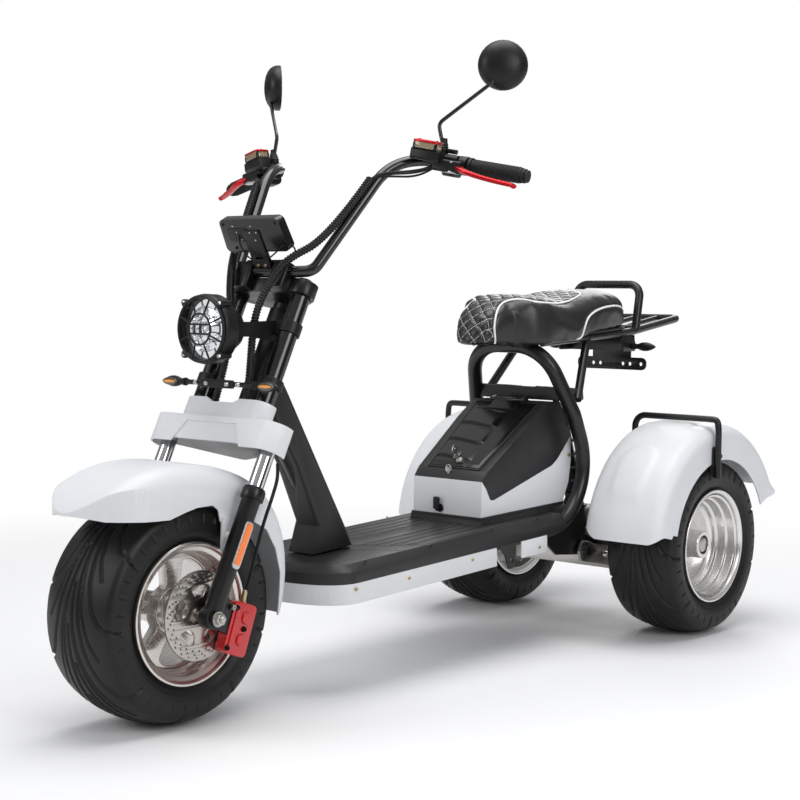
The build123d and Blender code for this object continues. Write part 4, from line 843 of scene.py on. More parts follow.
# Clear acrylic over amber fluid: pale brown and half see-through.
clear_pot = finish("smoked_clear_acrylic", "#cbb79a", "#bfa988", 0.12, 8.0, 10, Coat_Weight=0.6,
                   Transmission_Weight=0.55)
dress("handlebar", black_tube)
dress("grips", grip_rubber)
dress("switch_pods", moulded_black, 1.6)
bar_end = local(at(212, 556, 1130.5), (0.176, 0.033, 0.984), (0.957, 0.2295, -0.1758))
grip_start, rib_pitch, rib_width = 112, 6.0, 3.0
ribs = []
for start in [grip_start + rib_pitch * k for k in range(18)]:
    end = start + rib_width
    section = eased([(start, 15.0), (start, 17.3), (end, 17.3), (end, 15.0)], 0.9)
    ribs.append(spun("rib", section, bar_end, 40))
settle(twin(joined("grip_ribs", ribs)), "steering", grip_rubber)
dress("master_cylinders", moulded_black, 1.0)
top = local(bar_end @ Vector((22, 52, 23)), bar_end.col[1].xyz, bar_end.col[0].xyz)
settle(twin(flat("fluid_pots", top, [rounded(0, 0, 33, 56, 9, 6)], 0, 13, 1.2)), "steering", clear_pot)
settle(twin(joined("pot_caps", [
    flat("cap", top, [rounded(0, 0, 36, 60, 10, 6)], 12.2, 17, 1.4),
    flat("cap_rim", top, [rounded(0, 0, 28, 50, 8, 6)], 16, 18.4, 0.8)])),
    "steering", red_anodised, (), 35)


def on_both_sides(frame_of, points):
    """Places on a frame and their mirror images, each with the way that the frame faces."""
    return [(m @ (frame_of @ Vector(p)), m.to_3x3() @ frame_of.col[2].xyz) for p in points
            for m in (Matrix.Identity(4), Matrix.Scale(-1, 4, (1, 0, 0)))]


screws("cap_screws", "steering", black_steel, 2.6, 1.6,
       on_both_sides(top, ((0, -20, 18.2), (0, 20, 18.2))))
lever_route = [(-6, 36, 92), (-12, 50, 118), (-17, 47, 150), (-20, 41, 182), (-22, 36, 214), (-24, 40, 224)]


def through(points, steps=6):
    """A dense smooth line through points, as a Catmull-Rom spline gives it."""
    points, dense = [np.array(p, float) for p in points], []
    for i in range(len(points) - 1):
        p0, p1, p2, p3 = (points[min(max(i + d, 0), len(points) - 1)] for d in (-1, 0, 1, 2))
        for t in (j / steps for j in range(steps)):
            dense.append(0.5 * (2 * p1 + (p2 - p0) * t + (2 * p0 - 5 * p1 + 4 * p2 - p3) * t * t
                                + (3 * p1 - p0 - 3 * p2 + p3) * t ** 3))
    return dense + [points[-1]]


def swept(name, route, sizes, place, sides=14):
    """A bar with an oval section that changes along a frame's points in millimetres."""
    dense = [Vector(p) for p in through(route)]
    widths = np.column_stack([np.interp(np.linspace(0, len(sizes) - 1, len(dense)), range(len(sizes)), column)
                              for column in zip(*sizes)])
    corners = []
    for k, (point, (wide, thick)) in enumerate(zip(dense, widths)):
        ahead = (dense[min(k + 1, len(dense) - 1)] - dense[max(k - 1, 0)]).normalized()
        across_it = ahead.cross(Vector((1, 0, 0))).normalized()
        over = across_it.cross(ahead)
        for angle in (tau * s / sides for s in range(sides)):
            corners.append(place @ (point + across_it * wide * cos(angle) + over * thick * sin(angle)))
    faces = grid_faces(len(dense), sides, False)
    faces += [tuple(range(sides)), tuple(range((len(dense) - 1) * sides, len(dense) * sides))]
    return make(name, corners, faces)


lever_sizes = [(12, 6.5), (11, 6), (8.4, 5.4), (9.6, 5.4), (8.4, 5), (7.6, 5)]
lever = swept("lever_blade", lever_route, lever_sizes, bar_end)
settle(twin(lever), "steering", red_anodised, ("brake_levers",), 50)
pivot = local(bar_end @ Vector((-6, 38, 84)), bar_end.col[2].xyz, bar_end.col[0].xyz)
perch = [(-26, 8), (-20, 14), (4, 12), (13, 2), (10, -9), (-6, -10), (-24, -4)]
settle(twin(joined("lever_perches", [flat("perch_plate", pivot, [perch], 4, 11, 1.4),
                                     flat("perch_lower", pivot, [perch], -14, -7, 1.4)])),
       "steering", silver_cast, (), 35)
screws("lever_pins", "steering", black_steel, 4.2, 2.2, on_both_sides(pivot, [(2, 0, 11)]))

# ---- Mirrors ------------------------------------------------------------------------------
# Round silvered glasses, pressed into domed shells of moulded ABS. The bent steel rods stand
# in ribbed rubber boots on the brake levers' perches.
# Silvered glass: a clean mirror with a cool tint.
mirror_glass = finish("silvered_mirror_glass", "#c9cfd3", "#bfc6cb", 0.03, 20, 1, Metallic=1.0)
# ABS from a polished mould: black, with clear reflections.
gloss_abs = finish("glossy_black_abs", "#0a0a0b", "#101011", 0.24, 3.0, 14, Specular_IOR_Level=0.4,
                   Coat_Weight=0.2, Coat_Roughness=0.1)
head = local(at(340, 650, 1329), (0.76, 0.65, 0), (0.65, -0.76, 0))
stem = local(bar_end @ Vector((18.2, 0, 34)), (0, 1, 0), bar_end.col[0].xyz)
dome = spun("mirror_dome", [(-17, 0), (-17, 48), (-19, 49.5), (-18, 52.5), (-14, 53), (-8, 52.6), (-2, 50.5),
                            (5, 46), (11, 38.5), (15.5, 28), (18, 16), (19, 6), (19, 0)], head, 72)
boot = spun("mirror_boot", [(0, 0), (0, 11.5), (7, 11), (9, 12), (12, 10), (14, 10.8), (17, 8.8), (19, 9.4),
                            (23, 7), (32, 5.4), (32, 0)], stem, 32)
settle(twin(joined("mirror_shells", [dome, boot])), "steering", moulded_black,
       ("mirrors",), 40)
settle(twin(flat("mirror_glasses", head, [ring(0, 0, 47.5, 64)], -18.6, -16.8, 0.5)), "steering",
       mirror_glass, (), 30)
mirror_stem = [stem @ Vector((0, 0, 14)), at(238, 563, 1196), at(241, 565, 1208), at(250, 572, 1217),
               at(316, 623, 1281), at(325, 630, 1290), at(329, 636, 1300), at(336, 647, 1318)]
for side, name in left_right:
    bar(f"mirror_stem_{name}", [(side * p[0], p[1], p[2]) for p in mirror_stem], 4.2, "steering",
        black_tube)

# ---- Display ------------------------------------------------------------------------------
# A flat instrument in moulded ABS with a smoked glass, wired by one thin cable. Screws hold
# its back, and two bolts hold it to a folded steel tongue on the clamp.
# Smoked glass: nearly black, with mirror-like reflections.
screen_glass = finish("smoked_screen_glass", "#07090c", "#0b0d10", 0.05, 30, 1, Coat_Weight=0.8,
                      Coat_Roughness=0.02)
dress("display", gloss_abs, 1.6)
panel = local(at(0, 260, 968), (1, 0, 0), (0, 0.889, 0.458))
settle(flat("display_screen", panel, [rounded(0, -2, 150, 52, 8)], 10.6, 11.8, 0.5), "steering",
       screen_glass, (), 30)
settle(joined("display_mount", [
    flat("tongue", panel, [rounded(0, 30, 48, 86, 6), rounded(0, 50, 22, 5, 2)], -12.6, -9.2, 0.6),
    flat("stiffener", panel, [rounded(-40, -3, 60, 30, 8)], -10.6, -9.0, 0.5)]),
    "steering", moulded_black, (), 30)
ahead = -panel.col[2].xyz
screws("display_screws", "steering", black_steel, 3.4, 2.0,
       [(panel @ Vector(p), ahead) for p in ((-76, -27, -9), (76, -27, -9), (-60, 27, -9), (60, 27, -9))])
screws("display_pins", "steering", silver_plastic, 1.9, 1.2,
       [(panel @ Vector(p), ahead) for p in (
           (-62, -9, -9.4), (-42, -9, -10.2), (-33, 8, -10.2), (-3, -8, -12.4), (16, -8, -12.4),
           (7, 9, -12.4), (-50, -22, -9.2), (2, -21, -9.2))])
screws("display_bolts", "steering", brass, 4.2, 3.6,
       [(panel @ Vector((x, 66, -12)), ahead) for x in (-11, 11)])
bar("display_cable", [panel @ Vector(p) for p in (
    (-38, -2, -11), (-40, 14, -17), (-24, 42, -22), (4, 54, -24), (34, 48, -21), (60, 34, -16), (78, 22, -9),
    (92, 24, 0), (90, 46, 10), (64, 60, 16))], 1.7, "steering", moulded_rubber)

# ---- Headlight ----------------------------------------------------------------------------
# A black ABS housing with a stepped, metallised reflector behind clear polycarbonate, and a
# wire guard: eight spokes between two rings and two bars across, held by four lugs.
# Aluminium vapour on plastic: a bright mirror with a slight ripple.
metallised = finish("metallised_reflector", "#e6e8ea", "#d8dadc", 0.12, 3.0, 60, Metallic=1.0)
# Clear polycarbonate shows as its edges and a gloss.
clear_lens = finish("clear_polycarbonate", "#ffffff", "#fbfcfd", 0.03, 4.0, 20, Transmission_Weight=1.0,
                    IOR=1.2)
lamp = local(at(0, 116, 773), (1, 0, 0), (0, 1, 0))


def cut(piece, place, normal):
    """Takes away what lies ahead of a plane and closes the cut."""
    with opened(piece.data) as bm:
        bmesh.ops.bisect_plane(bm, geom=bm.verts[:] + bm.edges[:] + bm.faces[:], dist=1e-6,
                               plane_co=place, plane_no=normal, clear_outer=True)
        bmesh.ops.holes_fill(bm, edges=[e for e in bm.edges if e.is_boundary], sides=0)
    return piece


def stick(name, start, end, radius, segments=12):
    """A straight round bar between two points in metres, its radius in millimetres."""
    along = end - start
    side = Vector((0.3, 0.2, 1)) if abs(along.normalized().z) < 0.9 else Vector((1, 0.2, 0.3))
    length = along.length * 1000
    return spun(name, [(0, 0), (0, radius), (length, radius), (length, 0)],
                local(start, side.cross(along), along), segments)


settle(cut(shell("headlight"), lamp @ Vector((0, 0, 15)), (0, -1, 0)), "steering", moulded_black,
       ("headlight",), 40)
settle(spun("headlight_bezel", eased([(26, 60), (26, 70), (3, 71), (-4, 69), (-5, 63.5), (0, 60.5)], 1.4),
            lamp, 96), "steering", moulded_black, (), 40)
settle(spun("headlight_reflector", [(14, 0), (13, 12), (8, 15), (11, 27), (6, 31), (8.5, 43), (3, 47),
                                    (4, 60.4), (8, 60.4), (15.5, 30), (16, 0)], lamp, 22),
       "steering", metallised, (), 4)      # flat facets
lights = [spun("diode", [(9, 0), (9, 8.5), (6, 8), (3, 5.6), (1.6, 2.6), (1.2, 0)],
               lamp @ Matrix.Translation((r * cos(a), r * sin(a), 0)), 20)
          for r, a in [(0, 0)] + [(36, tau * k / 6 + 0.5) for k in range(6)]]
settle(joined("headlight_diodes", lights), "steering", metallised, (), 30)
settle(spun("headlight_lens", [(-2.4, 0), (-2.2, 30), (-0.6, 61), (0.8, 61), (-0.8, 30), (-1.0, 0)],
            lamp, 96), "steering", clear_lens, (), 40)
guard = []
for reach, ahead_of, wire, count, segments in ((65.5, 8, 3.2, 12, 96), (31, 12, 2.1, 10, 64)):
    circle = [(wire * sin(tau * i / count) - ahead_of, wire * cos(tau * i / count) + reach)
              for i in range(count)]
    guard.append(spun("guard_ring", circle, lamp, segments))
for a in (tau * (i + 0.5) / 8 for i in range(8)):
    guard.append(stick("spoke", lamp @ Vector((31 * cos(a), 31 * sin(a), -12)),
                       lamp @ Vector((65 * cos(a), 65 * sin(a), -8.5)), 2.0))
for y in (-9.5, 9.5):
    guard.append(stick("crossbar", lamp @ Vector((-29.5, y, -12)), lamp @ Vector((29.5, y, -12)), 2.0))
lugs = [lamp @ Matrix.Rotation(radians(a), 4, "Z") for a in (45, 135, 225, 315)]
lug_reach = 74
for lug in lugs:
    guard += [flat("lug", lug, [rounded(71, 0, 20, 15, 7)], -8, 3, 1.5),
              stick("lug_post", lug @ Vector((lug_reach, 0, 0)), lug @ Vector((lug_reach, 0, 22)), 5.5, 20)]
settle(joined("headlight_guard", guard), "steering", moulded_black, (), 40)
screws("headlight_bolts", "steering", chrome, 4.4, 3.2,
       [(lug @ Vector((lug_reach, 0, -7.8)), (0, -1, 0)) for lug in lugs])

# ---- Indicators ---------------------------------------------------------------------------
# Almond-shaped ABS shells on ribbed stalks, with an amber strip along the lens. The front
# pair is screwed to a bar between the fork's tubes, and the rear pair to the plate bracket.
# Amber acrylic with small prisms, and a faint amber glow painted in all over it, standing for light that enters
# it.
amber_lens_painted_glow = finish("amber_acrylic_painted_glow", "#e39a3c", "#d8862c", 0.15, 2.0, 300, "cells", Coat_Weight=0.7,
                    Coat_Roughness=0.05, Emission_Strength=0.15, Emission_Color=linear("#e39a3c"))
# Smoked acrylic: a dark brown gloss.
smoked_lens = finish("smoked_acrylic", "#5a4e42", "#4d443a", 0.10, 3.0, 60, Coat_Weight=0.7,
                     Coat_Roughness=0.04)
for name, x, back, z, way, body in (("front", 96, 158, 662, -1, "steering"),
                                    ("rear", 102, 1546, 715, 1, "frame")):
    place = local(at(x, back, z), (0, way, 0), (1, 0, 0))
    almond = [(12 + 58 * share, 11.5 * (sin(pi * min(share * 0.92 + 0.07, 1)) ** 0.75) + 0.2)
              for share in (i / 14 for i in range(15))]
    pod = spun(f"{name}_pod", [(12, 0)] + almond + [(70, 0)], place, 40)
    pod.data.transform(place @ Matrix.Diagonal((0.85, 1, 1, 1)) @ place.inverted())
    stalk = [spun("stalk_core", [(-4, 0), (-4, 6), (20, 5.5), (20, 0)], place, 20)]
    for i in range(4):
        start, end, reach = 2 + 3.6 * i, 4.8 + 3.6 * i, 8.4 - 0.5 * i
        stalk.append(spun("stalk_rib", eased([(start, 0), (start, reach), (end, reach), (end, 0)], 0.6),
                          place, 28))
    settle(twin(joined(f"{name}_indicator_shells", [pod] + stalk)), body, moulded_black,
           (), 40)
    board = local(at(x, back, z), (1, 0, 0), (0, way, 0))
    for part, start, end, wide, thick, surface, slot in (
            ("glass", 22, 66, 8.2, 9.6, smoked_lens, "lamp_lens"),
            ("strip", 26, 62, 3.0, 10.6, amber_lens_painted_glow, "amber")):
        loop = [(start + (end - start) * t, wide * sin(pi * t) ** 0.6 * s)
                for ts, s in ((np.linspace(0, 1, 14), 1), (np.linspace(1, 0, 14)[1:-1], -1)) for t in ts]
        settle(twin(flat(f"{name}_{part}", board, [loop], 4, thick, 1.0)), body, surface, (), 40)
signal_back, signal_height = 158, 662
strut = [stick("signal_bar", *(at(x, signal_back, signal_height) for x in (-99, 99)), 5.2, 24),
         flat("signal_plate", local(at(0, 153, signal_height), (1, 0, 0), (0, -1, 0)),
              [rounded(0, 0, 96, 17, 4)], -2, 2, 1.0)]
for side in (-1, 1):
    strut.append(spun("signal_collar", eased([(478, 20.2), (478, 25.5), (498, 25.5), (498, 20.2)], 1.2),
                      fork @ Matrix.Translation((side * 90, 0, 0)), 40))
settle(joined("signal_strut", strut), "steering", moulded_black, ("front_indicators",), 40)
screws("signal_bolts", "steering", chrome, 5.0, 4.0,
       [(at(x, 151, signal_height), (0, -1, 0)) for x in (-62, -30, 30, 62)])

# ---- Looms --------------------------------------------------------------------------------
# The wires run in spiral-cut nylon wrap, which shows as a coarse ridged sleeve. Thin cables
# in rubber leave it near the bar and fan out to the levers and the switches.
# Nylon wrap: satin black, brighter along each ridge.
spiral_nylon = finish("spiral_nylon_wrap", "#111112", "#1b1b1c", 0.38, 1.5, 60, Specular_IOR_Level=0.4)
loom_route = [(166, 426.6, 1082.8), (130.7, 338.3, 957.9), (76, 267, 914), (56, 241, 862), (38, 226, 812),
              (34, 219, 765), (36, 212, 712), (42, 201, 662), (46, 191.7, 625.5)]


def wrap_tree():
    """A sleeve along a curve: a smooth core inside leaning rings at an even pitch."""
    tree, given = new_tree("spiral_wrap", ("Sleeve radius", "Strip radius", "Pitch"))
    even = add_node(tree, "GeometryNodeResampleCurve", {"mode": "LENGTH"},
                    {"Curve": given["Geometry"], "Length": given["Pitch"]})
    hoop, strip, inside = (add_node(tree, "GeometryNodeCurvePrimitiveCircle", None,
                                    {"Resolution": sides, "Radius": given[size]}).outputs["Curve"]
                           for sides, size in ((18, "Sleeve radius"), (6, "Strip radius"),
                                               (14, "Sleeve radius")))
    band = add_node(tree, "GeometryNodeCurveToMesh", None, {"Curve": hoop, "Profile Curve": strip})
    along = add_node(tree, "GeometryNodeInputTangent")
    leaning = add_node(tree, "ShaderNodeVectorMath", {"operation": "ADD"},
                       {0: along.outputs[0], 1: (0.28, 0.0, 0.1)})
    turn = add_node(tree, "FunctionNodeAlignRotationToVector", {"axis": "Z"}, {"Vector": leaning.outputs[0]})
    rings = add_node(tree, "GeometryNodeInstanceOnPoints", None, {
        "Points": even.outputs["Curve"], "Instance": band.outputs["Mesh"], "Rotation": turn.outputs[0]})
    core = add_node(tree, "GeometryNodeCurveToMesh", None, {
        "Curve": given["Geometry"], "Profile Curve": inside, "Fill Caps": True})
    whole = add_node(tree, "GeometryNodeJoinGeometry")
    tree.links.new(rings.outputs[0], whole.inputs[0])
    tree.links.new(core.outputs[0], whole.inputs[0])
    return close_tree(tree, given, whole)


spiral_wrap = wrap_tree()
sleeves = []
for side in (1, -1):
    line = route("sleeve", [at(side * x, y, z) for x, y, z in loom_route], fineness=8)
    sleeves.append(grown(line, spiral_wrap, {"Sleeve radius": 0.0068, "Strip radius": 0.0019, "Pitch": 0.0062,
                                             "Finish": spiral_nylon}))
settle(joined("loom_sleeves", sleeves), "steering", spiral_nylon, ("cable_looms",), 50)
cable_route = ((164, 424, 1079), (176, 440, 1093), (196, 470, 1096), (222, 500, 1098), (246, 520, 1106),
               (262, 536, 1120))
fanned = (0.3, 0.6, 1, 1.4, 1, 0.6)       # how far each cable has left the bunch, along the route
for i, (dx, dy, dz) in enumerate(((0, 0, 0), (5, -5, 3), (-4, 3, -5))):
    for side, name in left_right:
        bar(f"control_cable_{name}_{i}", [at(side * (x + dx * k), y + dy * k, z + dz * k)
                                          for k, (x, y, z) in zip(fanned, cable_route)],
            2.3, "steering", moulded_rubber)

# ---- Neck and footboard -------------------------------------------------------------------
# Black polypropylene mouldings with a fine spark grain: a hollow column round the neck, and
# a footboard with long raised planks, over a white pan that is screwed on from the sides.
# Spark-eroded grain scatters the light, so the plastic looks dry and even.
grained_pp = finish("grained_black_polypropylene", "#161617", "#1e1e1f", 0.42, 1.1, 130, "cells")
for node, surface, slot, bevel in (("neck_column", grained_pp, "dark_plastic", 1.5),
                                   ("footboard", grained_pp, "dark_plastic", 1.5),
                                   ("belly_pan", white_lacquer, "white_panel", 1.2),
                                   ("side_skirts", white_lacquer, "white_panel", 0.5)):
    dress(node, surface, bevel)
slope = 0.0453                   # the deck's fall towards the front
deck = local(at(0, 900, 306), (1, 0, 0), (0, -slope, 1))
plank_loops = [[(side * near, front - 8), (side * far, front + 8), (side * far, rear), (side * near, rear)]
               for side in (-1, 1) for near, far, front, rear in (
                   (34, 58, -330, -14), (62, 86, -318, -14), (90, 114, -300, -14), (118, 146, -276, 170))]
plank_loops += [[(-30, -346), (0, -362), (30, -346), (30, -14), (-30, -14)],
                [(-146, -340), (0, -412), (146, -340), (146, -326), (0, -398), (-146, -326)]]
settle(joined("footboard_planks", [flat("plank", deck, [loop], -1.5, 1.3, 0.9) for loop in plank_loops]),
       "frame", grained_pp, (), 40)
screws("skirt_screws", "frame", brass, 4.6, 2.6,
       [(at(s * 171.6, y, z), (s, 0, 0)) for s in (-1, 1)
        for y, z in ((388, 232), (559, 234), (782, 248), (1041, 248))])
screws("deck_screws", "frame", black_steel, 3.4, 1.6,
       [(deck @ Vector((s * 160, y, -0.6)), (0, -slope, 1)) for s in (-1, 1) for y in (-470, -250, -30, 150)])
screws("pivot_bolts", "frame", chrome, 9.0, 8.0,
       [(at(s * 162, y, z), (s, 0, 0)) for s in (-1, 1) for y, z in ((1250, 214), (1340, 196))])

# ---- Battery box --------------------------------------------------------------------------
# A white lacquered surround under a grained black cover. The lid is polished black ABS with
# three raised pads, a cylinder lock and its key.
dress("box_surround", white_lacquer, 3.0, 30, 3)
dress("box_cover", grained_pp, 2.6, 30, 3)
dress("battery_pack", moulded_black, 2.0)
dress("box_lid", gloss_abs, 1.6)
lid = local(at(0, 922, 430), (1, 0, 0), (0, -156, 224))
across_count, along_count = 70, 110
pad_start, pad_end, pad_rise = 20, 244, 5.2
rows, corners = across_count + 1, []
for j in range(along_count + 1):
    y = pad_start + (pad_end - pad_start) * j / along_count
    half = 76 + 14 * (y / 262) - 6
    for i in range(rows):
        x = -half + 2 * half * i / across_count
        edge = min(half - abs(x), y - pad_start, pad_end - y)
        height = 0.0
        for start, end in ((34, 92), (98, 156), (162, 226)):
            t = (y + 5.0 * sin((x + 20) / 26) - start) / (end - start)
            if 0 < t < 1:
                height = pad_rise * min(1, t * 9) * (1 - 0.82 * t)
        height *= 1 / (1 + np.exp((x - 34 + 0.06 * y) / 3.2))      # the pads fade out to the left
        corners.append(lid @ Vector((x, y, 2.2 + height + 1.2 * min(edge / 4, 1))))


def border(rows, count):
    """The corners round the edge of a grid, in order."""
    return ([k for k in range(count)] + [i * count + count - 1 for i in range(1, rows)]
            + [(rows - 1) * count + k for k in range(count - 2, -1, -1)]
            + [i * count for i in range(rows - 2, 0, -1)])


base, edge_loop = len(corners), border(along_count + 1, rows)
faces = grid_faces(along_count + 1, rows, False, False)
lid_up = lid.col[2].xyz.normalized()
corners += [corners[k] - lid_up * 0.0035 for k in edge_loop]
for k, corner in enumerate(edge_loop):
    n = (k + 1) % len(edge_loop)
    faces.append((corner, edge_loop[n], base + n, base + k))
faces.append(tuple(base + k for k in range(len(edge_loop))))
settle(make("lid_pads", corners, faces), "lid", gloss_abs, (), 50)
settle(flat("lid_rim", lid, [[(-78, 3), (78, 3), (95, 266), (-95, 266)],
                             [(-74.5, 7), (74.5, 7), (91, 262), (-91, 262)]], -1, 3.2, 1.0),
       "frame", grained_pp, (), 40)
foot = local(at(0, 901, 317.6), (1, 0, 0), (0, -slope, 1))
settle(flat("box_foot", foot, [[(-106, -3.4), (106, -3.4), (122.4, 307), (-122.4, 307)],
                               [(-101, 3), (101, 3), (117, 302), (-117, 302)]], -1, 7, 1.2),
       "frame", grained_pp, (), 40)
screws("box_screws", "frame", brass, 5.0, 2.8,
       [(at(s * 118.6, 1235, 452), (s, 0, 0.12)) for s in (-1, 1)])
lock = lid @ Matrix.Translation((6, 27, 3))
settle(joined("lid_lock", [
    spun("lock_barrel", eased([(0, 0), (0, 9), (7, 8.4), (7, 0)], 1.2), lock, 40),
    spun("lock_face", eased([(6.5, 0), (6.5, 6), (8.6, 5.6), (8.6, 0)], 0.6), lock, 32),
]), "lid", bright_steel, (), 30)
key_bow = local(lid @ Vector((6, 27, 12)), lid.col[2].xyz, (1, 0.25, 0))
settle(joined("lid_key", [
    flat("key_blade", key_bow, [[(0, -3), (20, -3), (20, 3), (0, 3)]], -1, 1, 0.3),
    flat("key_bow", key_bow, [rounded(28, 0, 20, 22, 8), ring(32, 0, 3, 12)], -1.3, 1.3, 0.5)]),
    "lid", bright_steel, (), 30)
bar("key_ring", [lid @ Vector((-8 + 10 * cos(a), 40 + 11 * sin(a), 11 + 4 * cos(a)))
                 for a in (tau * i / 12 for i in range(12))],
    0.9, "lid", bright_steel, True, 4, True)
tag = local(at(-6, 915, 440), (0, 0, -1), (0.2, -1, 0.3))
for name, loops, low, high, bevel in (
        ("spare_key", [rounded(8, 0, 18, 17, 7), ring(3, 0, 2.6, 12)], 0, 2, 0.5),
        ("spare_blade", [[(16, -3), (40, -3), (43, 0), (40, 3), (16, 3)]], 0.3, 1.7, 0.3)):
    settle(flat(name, tag, loops, low, high, bevel), "lid", bright_steel, (), 30)
switch = local(at(-20, 900.6, 338), (1, 0, 0), (0, -1, 0))
settle(joined("power_switch", [
    spun("switch_collar", eased([(-3, 0), (-3, 10), (3, 10), (3, 0)], 1.0), switch, 36),
    flat("fob", switch, [rounded(-4, 12, 16, 30, 4)], 5, 13, 2.0),
    flat("fob_neck", switch, [rounded(-2, 0, 8, 14, 3)], 1, 12, 1.0)]),
    "frame", moulded_black, (), 40)

# ---- Rear fenders -------------------------------------------------------------------------
# Vacuum-formed ABS, lacquered white, 3.5 mm thick. Each is pressed with an arch on its front
# face and a raised band over the crown, and its tail kicks up.


def step(value, width):
    """Zero to one over a width about zero."""
    t = min(max(value / width + 0.5, 0), 1)
    return t * t * (3 - 2 * t)


section = [(-105, 268), (-105, 284), (-91, 302), (-40, 309.5), (10, 311), (52, 308.5), (87, 304), (103, 293),
           (111, 278), (111, 248), (111, 218)]
dense = np.array(through(section))
lean = np.gradient(dense, axis=0)
outwards = np.column_stack([lean[:, 1], -lean[:, 0]])
outwards /= np.linalg.norm(outwards, axis=1, keepdims=True)
outwards *= np.sign(outwards[30][1])       # the crown's middle points up
fender_radius, fender_wall = 311, 3.5
tail_angle, front_angle = 24, 173.6        # degrees from level behind the axle, over the top
arch_top, arch_half = 232, 46              # millimetres down the front from the crown, and across
turns, wide = 150, len(dense)
for side, name in left_right:
    outer, inner = [], []
    for i in range(turns + 1):
        for (a, r), (na, nr) in zip(dense, outwards):
            trim = (7.0 * max(0, (-60 - a) / 45) ** 2
                    + 4.0 * max(0, (a - 80) / 31) ** 2 * (1 if r > 240 else 1.6))
            degrees = tail_angle + (front_angle - trim - tail_angle) * i / turns
            down = radians(degrees - 90) * fender_radius
            if down > arch_top:
                arch = abs(a + 4) - arch_half + (down - arch_top) * 0.03
            else:
                arch = float(np.hypot(a + 4, down - arch_top)) - arch_half
            lift = 4.2 * step(-arch, 9) * step(345 - down, 50) if down > 150 else 0.0
            band = 3.4 * step(56 - abs(a), 14) * step(118 - down - 0.5 * abs(a), 22)
            kick = 9.0 * max(0, (31 - degrees) / 7) ** 2 * step(r - 262, 30)
            push = lift + band + kick
            for grid, depth in ((outer, push), (inner, push - fender_wall)):
                radius = r + nr * depth
                grid.append(at(side * (rear_x + a + na * depth), rear_back + radius * cos(radians(degrees)),
                               axle_height + radius * sin(radians(degrees))))
    base, edge_loop = len(outer), border(turns + 1, wide)
    faces = grid_faces(turns + 1, wide, False, False)
    faces += [tuple(base + face[k] for k in (0, 3, 2, 1)) for face in faces]
    faces += [(k, n, base + n, base + k) for k, n in zip(edge_loop, edge_loop[1:] + edge_loop[:1])]
    settle(make(f"rear_fender_{name}_skin", outer + inner, faces), "frame", white_lacquer,
           (f"rear_fender_{name}",), 48)
guard_stays = cut(cut(shell("fender_guards"), at(300, 0, 0), (1, 0, 0)), at(-300, 0, 0), (-1, 0, 0))
settle(guard_stays, "frame", powder_coat, ("fender_guards",), 40)
for side, name in left_right:
    bar(f"fender_guard_{name}", [at(side * x, 1435, z) for x, z in (
        (298, 546), (398, 546), (421, 545), (425, 523), (425, 500), (425, 402))],
        8, "frame", powder_coat)
    tab = local(at(side * 414, 1446, 440), (0, side, 0), (side, 0, 0))
    settle(flat(f"guard_tab_{name}", tab, [rounded(0, 0, 36, 76, 6)], -2.5, 2.5, 0.8), "frame", powder_coat,
           (), 40)
screws("guard_bolts", "frame", black_steel, 7.0, 6.0,
       [(at(s * 416.5, 1456, z), (s, 0, 0)) for s in (-1, 1) for z in (426, 454)])

# ---- Lamps at the back --------------------------------------------------------------------
# A red acrylic tail lamp, pushed into the back of a moulded black ABS tray. The tray hangs
# under the rack, above the plate bracket.
# Red acrylic with small prisms behind a flat, glossy front.
red_lens = finish("red_acrylic", "#a5131a", "#8e0f15", 0.14, 2.4, 300, "cells", Coat_Weight=0.7,
                  Coat_Roughness=0.05)
tail = cut(cut(shell("rear_lamps"), at(60, 0, 0), (1, 0, 0)), at(-60, 0, 0), (-1, 0, 0))
settle(tail, "frame", moulded_black, ("rear_lamps",), 40)
back = local(at(0, 1630, 724), (-1, 0, 0), (0, 1, 0))
settle(flat("tail_lens", back, [rounded(0, 0, 102, 29, 8)], -1, 2.4, 1.2), "frame", red_lens,
       (), 40)

# ---- Seat ---------------------------------------------------------------------------------
# Foam on a plastic pan under soft black PVC leather. The nose and the rider's pad are quilted
# in diamonds with white thread, and white piping follows the seams.
dress("seat_base", moulded_black, 1.0)
# PVC leather with a shallow pebble grain: black, with a soft sheen on the curves.
leather = finish("soft_black_pvc_leather", "#151515", "#1b1b1b", 0.36, 1.5, 160, "cells", Coat_Weight=0.12,
                 Coat_Roughness=0.3)
# Smooth white PVC, round and slightly glossy. The thread is drawn with it too.
white_cord = finish("white_pvc_piping", "#e9e9e8", "#dededd", 0.35, 2.0, 60)
seat = shell("seat_cushion")
seat.name = "saddle"
middle = at(0, 1240, 790)
seat.data.transform(Matrix.Translation(middle) @ Matrix.Diagonal((0.985, 0.99, 0.97, 1))
                    @ Matrix.Translation(-middle))
remesh = seat.modifiers.new("skin", "REMESH")
remesh.mode, remesh.voxel_size = "VOXEL", 0.0055


def relaxed(piece, times):
    """Adds a smoothing of so many rounds to a piece."""
    ease = piece.modifiers.new("ease", "SMOOTH")
    ease.factor, ease.iterations = 0.5, times


def read_corners(mesh):
    """A mesh's corners as an array of points in metres."""
    spots = np.empty(len(mesh.vertices) * 3)
    mesh.vertices.foreach_get("co", spots)
    return spots.reshape(-1, 3)


relaxed(seat, 14)
seat = fixed(seat)
